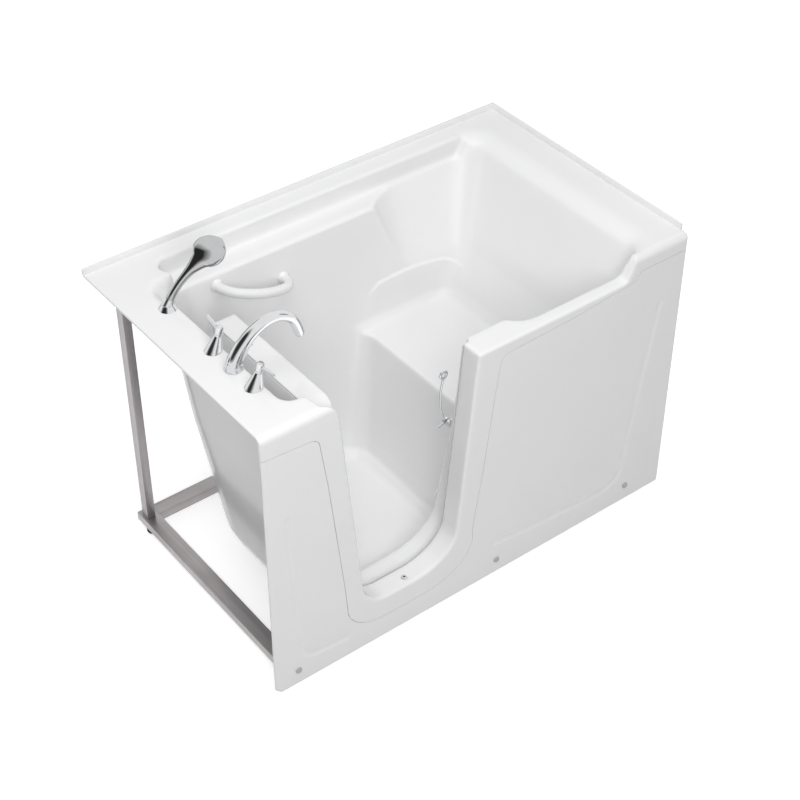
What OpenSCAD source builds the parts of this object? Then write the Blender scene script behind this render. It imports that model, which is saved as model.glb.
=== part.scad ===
// Walk-in jetted bathtub with a seat and an inward-opening door.
// Millimetres. Floor at z = 0, plan centre at the origin, X along the length,
// Y towards the back wall, the door in the front (-Y) face.

/* [Overall size] */
// Length of the bath
bath_len = 1524; // [1300:1:1800]
// Depth, front to back
bath_dep = 905; // [800:1:1000]
// Height of the deck's top above the floor
deck_top = 997; // [900:1:1100]
// Height of the tile flange above the deck
flange_h = 20; // [10:1:40]
// Thickness of the moulded shell
wall = 10; // [6:0.5:14]
// Gap between the skirt's bottom and the floor
skirt_gap = 8; // [0:1:20]

/* [Basin] */
// Height of the footwell floor
floor_z = 88; // [70:1:140]
// Height of the seat
seat_z = 518; // [420:1:560]
// Height of the back ledge
ledge_z = 930; // [880:1:960]
// Height of the armrest on the front wall
arm_z = 922; // [860:1:950]

/* [Door] */
// Half width of the door opening at the armrest
open_half = 237; // [200:1:280]
// Centre of the opening along the bath
open_x = -270; // [-400:1:0]
// Height of the sill
sill_z = 170; // [120:1:260]
// Thickness of the door
door_thk = 75; // [50:1:90]
// How far the door's edge overlaps the opening
door_lap = 12; // [6:1:20]
// Hinge axis, X
hinge_x = -494; // [-520:1:-460]
// Hinge axis, Y
hinge_y = -345; // [-360:1:-330]
// Radius of the door's hinge edge about the axis
hinge_r = 29; // [20:1:34]
// Radius of the hinge pins
hinge_pin_r = 5; // [4:0.5:8]
// Radial clearance of the running fits
run_fit = 0.05; // [0.02:0.01:0.1]

/* [Frame and feet] */
// Width of the frame's rectangular tube
rail_w = 52; // [40:1:60]
// Height of the frame's rectangular tube
rail_h = 30; // [20:1:50]
// Height of the rails' underside above the floor
rail_z = 28; // [20:1:60]
// Tube wall
tube_t = 2; // [1.5:0.5:4]
// Diameter of a foot
foot_d = 42; // [30:1:60]

/* [Taps] */
// Distance of the tap line from the centre, X
tap_x = -652; // [-700:1:-640]
// Back handle, Y
tap_hot_y = -68; // [-120:1:0]
// Spout, Y
spout_y = -166; // [-220:1:-130]
// Front handle, Y
tap_cold_y = -264; // [-320:1:-240]
// Radius of the spout's rising tube
spout_r = 17; // [12:0.5:22]

/* [Hidden] */
$fn = 48;
hl = bath_len / 2;
hd = bath_dep / 2;
front_y = -hd;
skin = 9;
seam = 1.5;
shoulder_y = -378;
lean = 0.0965;

white = [0.94, 0.94, 0.95];
chrome = [0.78, 0.79, 0.81];
steel = [0.66, 0.65, 0.63];
black = [0.06, 0.06, 0.06];
grey = [0.45, 0.46, 0.48];
brass_c = [0.72, 0.58, 0.32];
pipe_white = [0.88, 0.88, 0.86];

// Points of an arc about [cx, cy], from angle a to angle b.
function arc(cx, cy, r, a, b, n = 8) =
    [for (i = [0:n]) let (t = a + (b - a) * i / n) [cx + r * cos(t), cy + r * sin(t)]];

// Points of an elliptical arc.
function oval(cx, cy, rx, ry, a, b, n = 10) =
    [for (i = [0:n]) let (t = a + (b - a) * i / n) [cx + rx * cos(t), cy + ry * sin(t)]];

// Puts an XZ outline into the room, from y = y0 to y = y1.
module upright(y0, y1) {
    translate([0, y1, 0]) rotate([90, 0, 0]) linear_extrude(y1 - y0) children();
}

// The door opening: a tapered U, grown by m.

bow_z = sill_z + 120;
knee_z = sill_z + 92;

function left_x(z) = open_x - open_half + lean * (arm_z + 11 - z);
function right_x(z) = open_x + open_half - lean * (arm_z + 11 - z);

function u_left(m, top) = concat(
    arc(left_x(knee_z) + 92, knee_z, 92 + m, 270, 180, 10),
    [[left_x(top) - m, top]]);

function u_right(m, top) = concat(
    [[right_x(top) + m, top]],
    oval(right_x(bow_z) - 162, bow_z, 162 + m, 120 + m, 0, -90, 12));

module u_shape(m, top) {
    polygon(concat(u_right(m, top), u_left(m, top)));
}

// Plan outlines.

// The sunk region of the deck, grown by m.
module sunk_plan(m) {
    polygon(concat(
        [[-555 - m, front_y - 20], [495 + m, front_y - 20]],
        [[495 + m, -413 - m], [560 + m, -411 - m], [596 + m * 0.7, -400 - m * 0.7]],
        arc(575, -345, 57 + m, -45, 0, 6),
        arc(562, 310, 70 + m, 0, 90, 10),
        arc(-530, 345, 38 + m, 90, 190, 8),
        arc(-528, 200, 96 + m, 100, 180, 8),
        [[-624 - m, -280], [-615 - m * 0.9, -337 - m * 0.4],
         [-585 - m * 0.6, -354 - m * 0.8], [-560 - m, -372]]));
}

module deck_plan() {
    translate([-hl, -hd]) square([bath_len, bath_dep]);
}

// Basin hollows.

// A stack of rounded rings: [z, x0, x1, y0, y1, r front left, fr, br, bl].
module rings(list, g) {
    hull() {
        for (s = list) {
            z = s[0] - (s[0] == list[len(list) - 1][0] ? g : 0);
            translate([s[1] + s[5], s[3] + s[5], z]) cylinder(r = s[5] + g, h = 1, $fn = 32);
            translate([s[2] - s[6], s[3] + s[6], z]) cylinder(r = s[6] + g, h = 1, $fn = 32);
            translate([s[2] - s[7], s[4] - s[7], z]) cylinder(r = s[7] + g, h = 1, $fn = 32);
            translate([s[1] + s[8], s[4] - s[8], z]) cylinder(r = s[8] + g, h = 1, $fn = 32);
        }
    }
}

foot_rings = [
    [deck_top + 14, -625, 170, -368, 312, 40, 60, 60, 104],
    [560, -594, 98, -334, 266, 40, 50, 60, 130],
    [160, -558, 32, -298, 224, 40, 44, 70, 185],
    [112, -538, 20, -288, 212, 50, 50, 76, 180],
    [floor_z, -496, -12, -262, 184, 60, 60, 70, 150]
];

seat_rings = [
    [deck_top + 14, -60, 590, -368, 312, 40, 60, 72, 40],
    [670, -60, 494, -338, 275, 40, 60, 72, 40],
    [seat_z + 26, -60, 438, -334, 264, 40, 60, 72, 40],
    [seat_z, -60, 416, -314, 244, 40, 55, 60, 40]
];

back_rings = [
    [deck_top + 14, 110, 622, -424, 384, 100, 56, 78, 200],
    [ledge_z, 112, 586, -410, 371, 100, 56, 78, 200],
    [648, 204, 478, -346, 270, 64, 60, 72, 100]
];

module basin_outer() {
    rings(foot_rings, wall);
    rings(seat_rings, wall);
    rings(back_rings, wall);
}

module basin_inner() {
    rings(foot_rings, 0);
    rings(seat_rings, 0);
    rings(back_rings, 0);
    shoulder_cut();
    // scoop round the hand shower
    translate([-583, 236, deck_top - 34]) cylinder(r1 = 40, r2 = 70, h = 34.1);
}

// Space over the soft shoulder between the seat's back and the right deck.

shoulder_r = 86;
turn_x = 562;

module shoulder_profile(x0) {
    polygon(concat(arc(670 - x0, deck_top - shoulder_r, shoulder_r, 90, 159, 10),
        [[572 - x0, 940], [572 - x0, deck_top + 14], [670 - x0, deck_top + 14]]));
}

module shoulder_cut() {
    upright(-345, 310) shoulder_profile(0);
    translate([turn_x, 310, 0]) rotate_extrude(angle = 90) shoulder_profile(turn_x);
    translate([turn_x, -345, 0]) rotate([0, 0, -90]) rotate_extrude(angle = 90) shoulder_profile(turn_x);
}

// Shell.

module front_outline() {
    polygon(concat(
        [[-hl, skirt_gap + 20], [-hl + 20, skirt_gap], [hl, skirt_gap], [hl, deck_top]],
        arc(572, deck_top - 22, 22, 90, 150, 4),
        arc(508, arm_z + 24, 24, -40, -90, 4),
        arc(right_x(arm_z) + 12, arm_z - 12, 12, 90, 180, 5),
        [[right_x(700), 700], [left_x(700), 700], [left_x(arm_z), arm_z]],
        arc(-565, deck_top - 56, 56, 0, 90, 7),
        [[-hl, deck_top]]));
}

// The skirt panel's region of the front face, shrunk by m.
module panel_region(m) {
    polygon(concat(
        [[-hl - 20, -20], [hl + 20, -20], [hl + 20, 942 - m], [660, 942 - m]],
        arc(594, 902, 40 - m, 90, 105, 2),
        [[545, 912 - m], [331, 892 - m]],
        arc(79, 848, 34 - m, 95, 174, 6),
        [[29 + m, 743], [-6 + m, 457]],
        oval(-210, 222, 176 + m, 128 + m, 12, -90, 10),
        oval(-368, 200, 132 + m, 106 + m, 270, 188, 8),
        [[-508 - m, 302], [-553 - m, 717]],
        arc(-608, 880, 32 - m, 6, 84, 6),
        [[-hl - 20, 924 - m]]));
}

module deck_slab() {
    difference() {
        translate([0, 0, deck_top - wall]) linear_extrude(wall) deck_plan();
        translate([0, 0, deck_top - wall - 1]) linear_extrude(wall + 2) sunk_plan(0);
    }
}

module sunk_tray() {
    // wall round the sunk region, and its ledge and armrest
    translate([0, 0, ledge_z - wall]) linear_extrude(deck_top - ledge_z + wall - 1)
        intersection() {
            sunk_plan(wall);
            translate([-hl, -hd + skin]) square([bath_len, bath_dep]);
        }
    // armrest, and the wall below the ramp at its right end
    translate([right_x(arm_z), -hd + skin, arm_z - wall]) cube([592 - right_x(arm_z), 102, wall]);
    translate([480, -hd + skin, arm_z - wall]) cube([112, 62, deck_top - arm_z + wall - 1]);
    // wall of the scoop
    translate([-583, 236, deck_top - 44]) cylinder(r1 = 48, r2 = 78, h = 43);
}

// Space over the ledge, which runs up to the deck at its right end.
module ledge_space() {
    upright(-hd + wall + 12, hd) polygon(concat(
        [[-hl - 5, ledge_z + 200], [-hl - 5, ledge_z]],
        arc(524, ledge_z + 40, 40, -90, -35, 5),
        [[590, ledge_z + 62], [590, ledge_z + 200]]));
}

// Space over the ramp between the armrest and the right deck.
module ramp_cut() {
    upright(-hd - 5, -hd + 115) polygon(concat(
        [[right_x(arm_z) - 60, 1200], [right_x(arm_z) - 60, arm_z]],
        arc(508, arm_z + 24, 24, -90, -40, 5),
        arc(572, deck_top - 22, 22, 150, 90, 5),
        [[572, 1200]]));
}

module shell_front() {
    // rolled front rim and door surround, above and inside the panel's seam
    upright(front_y, front_y + skin) difference() {
        front_outline();
        panel_region(0);
    }
    // flange behind the seam that the panel's top laps on
    upright(front_y + skin, front_y + skin + 5) difference() {
        intersection() {
            front_outline();
            translate([-hl, 40]) square([bath_len, deck_top - 50]);
        }
        panel_region(26);
    }
}

module tile_flange() {
    translate([-hl, hd - 6, deck_top - 1]) cube([bath_len, 6, flange_h + 1]);
    translate([hl - 6, -hd + 30, deck_top - 1]) cube([6, bath_dep - 30, flange_h + 1]);
}

module tunnel_block() {
    upright(front_y, shoulder_y) intersection() {
        u_shape(wall, 960);
        front_outline_full();
    }
    // the door's seat behind the shoulder
    upright(shoulder_y - wall, -288) difference() {
        union() {
            u_shape(24 + wall, arm_z);
            translate([-572, 138]) square([200, arm_z - 138]);
        }
        translate([-600, 0]) square([900, 138]);
    }
}

module front_outline_full() {
    polygon([[-hl, 0], [hl, 0], [hl, arm_z], [-500, arm_z], [-500, 990], [-hl, 990]]);
}

module door_way() {
    upright(front_y - 5, shoulder_y + 1) u_shape(0, 1040);
    upright(shoulder_y, -250) u_shape(24, 1040);
    // hinge side: flat wall, no side return
    translate([-562, shoulder_y, 148]) cube([220, 110, 900]);
}

module tub_shell() {
    color(white) difference() {
        union() {
            deck_slab();
            sunk_tray();
            intersection() {
                basin_outer();
                translate([-hl, -hd, 0]) cube([bath_len, bath_dep, ledge_z]);
            }
            // wall of the basin where it stands above the ledge
            intersection() {
                basin_outer();
                translate([-hl, -hd + 40, 0]) cube([bath_len, bath_dep - 60, deck_top - 2]);
                translate([0, 0, ledge_z - 2]) linear_extrude(200) difference() {
                    deck_plan();
                    sunk_plan(0);
                }
            }
            shell_front();
            tile_flange();
            tunnel_block();
        }
        basin_inner();
        // space above the ledge and the armrest
        intersection() {
            translate([0, 0, ledge_z]) linear_extrude(200) sunk_plan(0);
            ledge_space();
        }
        ramp_cut();
        door_way();
        shell_bores();
        // front corner of the left deck, rounded down to the jamb
        translate([0, -hd + 90, 0]) rotate([90, 0, 0]) linear_extrude(120) difference() {
            translate([-565, deck_top - 56]) square([80, 80]);
            translate([-565, deck_top - 56]) circle(r = 56);
        }
    }
}

// Places on the walls.

// Frame on the front wall's inner face: Z points into the basin.
module on_front(x, z, y, tilt) {
    translate([x, y, z]) rotate([-(90 - tilt), 0, 0]) children();
}

jet_r = 18;
jet_at = [[160, 605, -338.4, 4.16], [290, 605, -338.4, 4.16],
    [300, 760, -371.35, 12.8], [420, 760, -371.35, 12.8]];

module at_jet(i) {
    on_front(jet_at[i][0], jet_at[i][1], jet_at[i][2], jet_at[i][3]) children();
}

module at_knob() {
    on_front(300, 865, -395.3, 12.8) children();
}

module at_button() {
    on_front(400, 865, -395.3, 12.8) children();
}

module at_overflow() {
    on_front(52, 850, -355.8, 4.3) children();
}

module at_suction() {
    on_front(-32, 300, -310.5, 5.1) children();
}

drain_at = [-400, -50];
shower_at = [-651, 168];
knob_r = 9;
nut_r = 19;

module shell_bores() {
    for (y = [tap_hot_y, spout_y, tap_cold_y])
        translate([tap_x, y, deck_top - 30]) cylinder(r = 14, h = 60);
    translate([shower_at[0], shower_at[1], deck_top - 30]) cylinder(r = 14, h = 60);
    translate([drain_at[0], drain_at[1], floor_z - 30]) cylinder(r = 22, h = 60);
    translate([open_x, -420, sill_z - 30]) cylinder(r = 6, h = 60);
    for (i = [0:3]) at_jet(i) translate([0, 0, -30]) cylinder(r = jet_r, h = 50);
    at_knob() translate([0, 0, -30]) cylinder(r = knob_r, h = 50);
    at_button() translate([0, 0, -30]) cylinder(r = knob_r, h = 50);
    at_overflow() translate([0, 0, -30]) cylinder(r = 20, h = 50);
    at_suction() translate([0, 0, -30]) cylinder(r = 20, h = 50);
}

// Skirt panel.

screw_x = [-681, 66, 608];
screw_z = [66, 64, 72];

module relief_left(m) {
    polygon(concat(
        [[-693 + m, 674], [-683 + m, 461], [-667 + m, 179]],
        arc(-612, 152, 54 - m, 175, 262, 6),
        [[-505, 88 + m], [-505, 94 + m]],
        arc(-612, 152, 48 - m, 262, 175, 6),
        [[-661 + m, 179], [-677 + m, 461], [-687 + m, 674]]));
}

module relief_right() {
    polygon(concat(
        [[56, 145], [226, 125], [401, 113], [490, 105]],
        arc(500, 186, 80, 270, 345, 7),
        [[595, 299], [623, 506], [652, 687], [669, 781],
         [675, 781], [658, 687], [629, 506], [601, 299]],
        arc(500, 186, 86, 345, 270, 7),
        [[490, 99], [401, 107], [226, 119], [56, 139]]));
}

module front_panel() {
    color(white) difference() {
        union() {
            upright(front_y, front_y + skin) intersection() {
                front_outline();
                panel_region(seam);
            }
            // stiffening return along the bottom
            translate([-hl + 30, front_y + skin, skirt_gap]) cube([bath_len - 60, 18, 6]);
        }
        upright(front_y - 5, front_y + 3) relief_left(0);
        upright(front_y - 5, front_y + 3) relief_right();
        for (i = [0:2]) translate([screw_x[i], front_y - 5, screw_z[i]])
            rotate([-90, 0, 0]) cylinder(r = 3.2, h = 40);
    }
}

module panel_screws() {
    color(steel) for (i = [0:2]) translate([screw_x[i], front_y, screw_z[i]]) rotate([-90, 0, 0]) {
        translate([0, 0, -2.4]) cylinder(r = 7, h = 2.4);
        cylinder(r = 3, h = 32);
    }
}

module screw_caps() {
    color(grey) for (i = [0:2]) translate([screw_x[i], front_y, screw_z[i]]) rotate([90, 0, 0])
        difference() {
            cylinder(r1 = 11, r2 = 9, h = 5.5);
            translate([0, 0, -1]) cylinder(r = 7.3, h = 3.6);
        }
}

// Base frame.

rail_top = rail_z + rail_h;
rail_in = 54;
rx = hl - rail_in - rail_w;
ry = hd - 40 - rail_w;
post_w = 28;
post_d = 34;

// Rectangular tube from the origin along X.
module tube_x(len, w, h) {
    difference() {
        cube([len, w, h]);
        translate([-1, tube_t, tube_t]) cube([len + 2, w - 2 * tube_t, h - 2 * tube_t]);
    }
}

module tube_y(len, w, h) {
    translate([w, 0, 0]) rotate([0, 0, 90]) tube_x(len, w, h);
}

module tube_z(len, w, d) {
    difference() {
        cube([w, d, len]);
        translate([tube_t, tube_t, -1]) cube([w - 2 * tube_t, d - 2 * tube_t, len + 2]);
    }
}

module end_rails() {
    color(steel) for (x = [-rx - rail_w, rx])
        translate([x, -ry - rail_w, rail_z]) tube_y(2 * (ry + rail_w), rail_w, rail_h);
}

module long_rails() {
    color(steel) for (y = [-ry - rail_w, ry])
        translate([-rx, y, rail_z]) tube_x(2 * rx, rail_w, rail_h);
}

bar_x = [-330, -60, 370];

module cross_bars() {
    color(steel) for (x = bar_x) translate([x, -ry, rail_z]) tube_y(2 * ry, rail_w, rail_h);
}

module frame_posts() {
    color(steel) for (sx = [-1, 1], sy = [-1, 1]) translate([sx * (rx + 29), sy * (ry + post_d / 2), 0]) {
        translate([-post_w / 2, -post_d / 2, rail_top])
            tube_z(deck_top - wall - 4 - rail_top, post_w, post_d);
        // pad bonded under the deck
        translate([-24, -24, deck_top - wall - 5]) cube([48, 48, 5]);
    }
}

foot_x = rx + 26;
foot_y = ry + 4;
foot_h = 12;

module at_feet() {
    for (sx = [-1, 1], sy = [-1, 1]) translate([sx * foot_x, sy * foot_y, 0]) children();
}

module foot_pads() {
    color(black) at_feet() difference() {
        union() {
            cylinder(r = foot_d / 2, h = 7);
            translate([0, 0, 7]) cylinder(r1 = foot_d / 2, r2 = 14, h = foot_h - 7);
        }
        translate([0, 0, 5]) cylinder(r = 5, h = 10);
    }
}

module foot_studs() {
    color(steel) at_feet() translate([0, 0, 5]) cylinder(r = 5, h = rail_z - 5);
}

module foot_nuts() {
    color(steel) at_feet() translate([0, 0, rail_z - 8]) difference() {
        cylinder(r = 10, h = 8, $fn = 6);
        translate([0, 0, -1]) cylinder(r = 5, h = 10);
    }
}

under_z = floor_z - wall;

module floor_bearers() {
    color([0.35, 0.33, 0.3]) for (x = [bar_x[0], bar_x[1]])
        translate([x, -200, rail_top]) cube([38, 320, under_z - rail_top]);
}

module seat_props() {
    color(steel) for (y = [-240, 180])
        translate([bar_x[2] + 6, y, rail_top]) tube_z(seat_z - wall - rail_top, 30, 30);
}

// Door.

door_left = hinge_x - hinge_r;
door_out = hinge_y - hinge_r;
door_in = door_out + door_thk;
door_hi = arm_z + 1;

// Door outline in XZ when closed, shrunk by m.
module door_outline(m) {
    k = door_lap - m;
    polygon(concat(
        arc(right_x(door_hi) + k - 14, door_hi - m - 14, 14, 90, 0, 5),
        oval(right_x(bow_z) - 162, bow_z, 162 + k, 120 + k, 0, -90, 12),
        arc(door_left + 74, sill_z - door_lap + 74, 74 - m, 270, 180, 8),
        arc(door_left + 60, door_hi - 60, 60 - m, 180, 90, 7)));
}

// Turns a closed door piece about the hinge to its open rest place.
module swung_open() {
    translate([hinge_x, hinge_y, 0]) rotate([0, 0, 90])
        translate([-hinge_x, -hinge_y, 0]) children();
}

hinge_z = [330, 790];
knuckle_h = 40;

module door_shell() {
    color(white) swung_open() difference() {
        upright(door_out, door_in) door_outline(0);
        // hinge edge rounded about the axis
        difference() {
            translate([door_left - 1, door_out - 1, 100]) cube([hinge_r + 1, hinge_r + 1, 900]);
            translate([hinge_x, hinge_y, 90]) cylinder(r = hinge_r, h = 920);
        }
        // hollow behind the back plate
        upright(door_out + 9, door_in + 1) intersection() {
            door_outline(9);
            translate([hinge_x + 30, 0]) square([800, 1200]);
        }
        for (z = hinge_z) {
            translate([door_left - 1, door_out - 1, z - knuckle_h / 2 - 2])
                cube([hinge_r + 25, door_thk + 2, knuckle_h + 4]);
            translate([hinge_x, hinge_y, z - 46]) cylinder(r = hinge_pin_r + run_fit, h = 92);
        }
    }
}

module door_back() {
    color(white) swung_open() upright(door_in - 6, door_in - 0.3) intersection() {
        door_outline(9.2);
        translate([hinge_x + 30.2, 0]) square([800, 1200]);
    }
}

module door_seal() {
    color([0.85, 0.85, 0.86]) upright(shoulder_y, shoulder_y + 3.5) difference() {
        u_shape(9, arm_z - 12);
        u_shape(2, arm_z);
    }
}

module door_catch() {
    color(chrome) translate([-512, -20, door_hi]) {
        translate([-6, -14, 0]) cube([12, 28, 3]);
        cylinder(r = 4, h = 9);
    }
}

latch_y = -288;
pivot = [-12, 561];

module rod_keeper() {
    color(chrome) swung_open() difference() {
        translate([-149, door_in - 0.3, 526]) cube([18, 20, 34]);
        translate([-150, latch_y - 6, 538]) cube([20, 12, 30]);
    }
}

module hinge_brackets() {
    color(steel) for (z = hinge_z) difference() {
        union() {
            translate([-540, shoulder_y, z - knuckle_h / 2])
                cube([540 + hinge_x, hinge_y + 14 - shoulder_y, knuckle_h]);
            translate([hinge_x, hinge_y, z - knuckle_h / 2]) cylinder(r = 16, h = knuckle_h);
        }
        translate([hinge_x, hinge_y, z - 30]) cylinder(r = hinge_pin_r + 0.02, h = 60);
        // clear of the seal
        upright(shoulder_y - 1, shoulder_y + 3.8) u_shape(9.3, arm_z);
    }
}

module hinge_pins() {
    color(steel) for (z = hinge_z)
        translate([hinge_x, hinge_y, z - 44]) cylinder(r = hinge_pin_r, h = 88);
}

// Latch.

// Round rod from p to q, radius r1 to r2, with a ball at its end.
module rod(p, q, r1, r2) {
    d = q - p;
    len = norm(d);
    translate(p) rotate([0, acos(d[2] / len), atan2(d[1], d[0])]) cylinder(r1 = r1, r2 = r2, h = len);
    translate(q) sphere(r = r2);
}

module run(pts, r) {
    translate(pts[0]) sphere(r = r);
    for (i = [0:len(pts) - 2]) rod(pts[i], pts[i + 1], r, r);
}

// Tapered stem from p to q, turned in one piece with its round end.
module stem(p, q, r1, r2) {
    d = q - p;
    len = norm(d);
    translate(p) rotate([0, acos(d[2] / len), atan2(d[1], d[0])]) rotate_extrude()
        polygon(concat([[0, 0], [r1, 0]], arc(0, len - r2, r2, 0, 80, 6), [[0, len]]));
}

module latch_bracket() {
    color(chrome) {
        difference() {
            translate([-30, -350, 518]) cube([44, 26, 84]);
            basin_outer_front();
        }
        translate([pivot[0], -330, pivot[1]]) rotate([-90, 0, 0]) {
            cylinder(r = 11, h = 34);
            cylinder(r = 4, h = 50);
            translate([0, 0, 49]) cylinder(r = 7, h = 3);
        }
    }
}

// Half space in front of the basin's front wall, near the latch.
module basin_outer_front() {
    on_front(0, 561, -333.6, 4.7) translate([-200, -200, -100]) cube([400, 400, 100]);
}

module latch_lever() {
    color(chrome) difference() {
        union() {
            translate([pivot[0], latch_y - 5, pivot[1]]) rotate([-90, 0, 0]) cylinder(r = 12, h = 10);
            // rod bowed about (206, 661)
            translate([206, latch_y, 661]) rotate([90, 0, 0]) rotate([0, 0, 163.1])
                rotate_extrude(angle = 38.9) translate([243.2, 0]) circle(r = 3.6);
            stem([-20.6, latch_y, 558.2], [-46, latch_y, 550], 4, 3.4);
            translate([-27, latch_y, 743]) rotate([90, 0, 0]) rotate_extrude()
                translate([11, 0]) circle(r = 4.4, $fn = 24);
        }
        translate([pivot[0], latch_y - 20, pivot[1]]) rotate([-90, 0, 0])
            cylinder(r = 4 + run_fit, h = 40);
    }
}

// Grab bar.

bar_mid = [-299, 296.27, 858];
bar_half = 119;

grab_r = 15.5;

module bend(cx, cy, r, a, b) {
    translate([cx, cy, 0]) rotate([0, 0, a]) rotate_extrude(angle = b - a)
        translate([r, 0]) circle(r = grab_r);
}

module grab_bar() {
    turn = 65;
    near = 70;
    far = (bar_half - near * (1 - cos(turn))) / cos(turn);
    color(white) translate(bar_mid) rotate([84.2, 0, 0]) rotate([0, 0, -16.6]) {
        for (s = [0, 1]) mirror([s, 0, 0]) {
            translate([bar_half, 0, 0]) cylinder(r1 = 23, r2 = 19, h = 8);
            rotate([90, 0, 0]) bend(bar_half - near, 7.9, near, 0, turn);
        }
        rotate([90, 0, 0]) bend(0, 7.9 + near * sin(turn) - far * sin(turn), far, turn, 180 - turn);
    }
}

// Spout and taps.

// Places (x, z) along the spout, with what each radius adds to spout_r.
spout_path = [
    [-652, 1001, 8], [-643, 1026, 5.5], [-620, 1058, 3.2], [-585, 1088, 1],
    [-541, 1104, -1], [-496, 1101, -2.4], [-455, 1071, -2.7], [-436, 1018, -2.7]];

module at_outlet() {
    translate([-436, spout_y, 1018]) rotate([0, -20, 0]) children();
}

module spout() {
    color(chrome) difference() {
        translate([0, spout_y, 0]) for (i = [0:len(spout_path) - 2]) hull() for (k = [i, i + 1])
            translate([spout_path[k][0], 0, spout_path[k][1]]) sphere(r = spout_r + spout_path[k][2], $fn = 28);
        translate([-700, spout_y - 40, deck_top - 60]) cube([90, 80, 64]);
        at_outlet() {
            translate([0, 0, -40]) cylinder(r = 30, h = 37);
            translate([0, 0, -10]) cylinder(r = 10, h = 18);
        }
    }
}

module spout_base() {
    color(chrome) {
        translate([-652, spout_y, deck_top]) cylinder(r1 = 27, r2 = 25.5, h = 4);
        translate([-652, spout_y, 880]) cylinder(r = 13, h = deck_top - 880);
    }
}

module spout_aerator() {
    color(steel) at_outlet() translate([0, 0, -2.6])
        difference() {
            cylinder(r = 9.9, h = 7);
            for (a = [0:60:300]) rotate([0, 0, a]) translate([5.5, 0, -1]) cylinder(r = 1.6, h = 5);
        }
}

tap_lean = 20;
stem_r = 4;

module leaning(y) {
    translate([tap_x + 2, y, deck_top]) rotate([0, tap_lean, 0]) children();
}

module tap_base(y) {
    color(chrome) {
        difference() {
            leaning(y) {
                translate([0, 0, -14]) cylinder(r1 = 29, r2 = 25, h = 14);
                cylinder(r1 = 25, r2 = 11, h = 44);
                translate([0, 0, 44]) cylinder(r = 10, h = 5);
                translate([0, 0, 49]) cylinder(r = stem_r, h = 16);
            }
            translate([tap_x - 60, y - 60, deck_top - 60]) cube([120, 120, 60]);
        }
        translate([tap_x, y, 900]) cylinder(r = 13, h = deck_top - 900 + 1);
    }
}

module tap_lever(y, s) {
    color(chrome) leaning(y) difference() {
        union() {
            translate([0, 0, 49.3]) cylinder(r1 = 10, r2 = 11.5, h = 22);
            translate([0, 0, 71.3]) cylinder(r1 = 11.5, r2 = 7, h = 4);
            stem([0, s * 6.5, 62.5], [0, s * 66, 72], 6, 4.5);
        }
        translate([0, 0, 49]) cylinder(r = stem_r + run_fit, h = 17);
    }
}

module tap_base_hot() {
    tap_base(tap_hot_y);
}

module tap_lever_hot() {
    tap_lever(tap_hot_y, 1);
}

module tap_base_cold() {
    tap_base(tap_cold_y);
}

module tap_lever_cold() {
    tap_lever(tap_cold_y, -1);
}

module valve_bodies() {
    color(brass_c) for (y = [tap_hot_y, tap_cold_y]) translate([tap_x, y, 0]) difference() {
        union() {
            translate([0, 0, 862]) cylinder(r = 17, h = 60);
            // inlet spigot on its collar, facing the open end
            translate([-8, 0, 903]) rotate([0, -90, 0]) cylinder(r = 13.5, h = 12);
            translate([-8, 0, 903]) rotate([0, -90, 0]) cylinder(r = 10, h = 32);
        }
        translate([0, 0, 899.9]) cylinder(r = 13, h = 40);
    }
}

module deck_nuts() {
    color(brass_c) {
        for (y = [tap_hot_y, spout_y, tap_cold_y]) translate([tap_x, y, 0]) nut_under();
        translate([shower_at[0], shower_at[1], 0]) nut_under();
    }
}

module nut_under() {
    translate([0, 0, deck_top - wall - 8]) difference() {
        rotate([0, 0, 30]) cylinder(r = nut_r, h = 8, $fn = 6);
        translate([0, 0, -1]) cylinder(r = 13, h = 10);
    }
}

module mixing_pipe() {
    color(brass_c) difference() {
        translate([tap_x, tap_cold_y, 888]) rotate([-90, 0, 0]) cylinder(r = 7, h = tap_hot_y - tap_cold_y);
        for (y = [tap_hot_y, tap_cold_y]) translate([tap_x, y, 800]) cylinder(r = 17, h = 200);
        translate([tap_x, spout_y, 800]) cylinder(r = 13, h = 200);
    }
}

// Hand shower.

shower_lean = 33;
cup_r = 10;
head_at = [-503, 168, 1130];

module in_cradle() {
    translate([shower_at[0] + 2, shower_at[1], deck_top + 16]) rotate([0, shower_lean, 0]) children();
}

module shower_cradle() {
    color(chrome) difference() {
        union() {
            translate([shower_at[0], shower_at[1], deck_top]) cylinder(r1 = 27, r2 = 17, h = 14);
            in_cradle() translate([0, 0, -8]) cylinder(r1 = 15.5, r2 = 14.5, h = 22);
            translate([shower_at[0], shower_at[1], deck_top - 50]) cylinder(r = 13, h = 52);
        }
        in_cradle() translate([0, 0, -4]) cylinder(r = cup_r + 0.1, h = 30);
    }
}

grip = [[-637, 168, 1031, 11], [-607, 168, 1064, 11.5], [-572, 166, 1092, 13.5],
    [-540, 163, 1112, 18], [-515, 163, 1127, 22]];

module in_head() {
    translate(head_at) rotate([0, 132.8, 52.2]) children();
}

module hand_shower() {
    color(chrome) difference() {
        union() {
            in_cradle() translate([0, 0, -3]) cylinder(r = cup_r, h = 20);
            in_cradle() translate([0, 0, 14.5]) cylinder(r = 12, h = 6);
            for (i = [0:3]) hull() for (k = [i, i + 1])
                translate([grip[k][0], grip[k][1], grip[k][2]]) sphere(r = grip[k][3], $fn = 24);
            in_head() translate([0, 0, -24]) cylinder(r1 = 22, r2 = 40, h = 14);
            in_head() translate([0, 0, -10]) cylinder(r1 = 40, r2 = 46, h = 14);
            in_head() translate([0, 0, 4]) cylinder(r1 = 46, r2 = 43, h = 4);
        }
        in_head() translate([0, 0, 5]) cylinder(r = 38, h = 5);
    }
}

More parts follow.
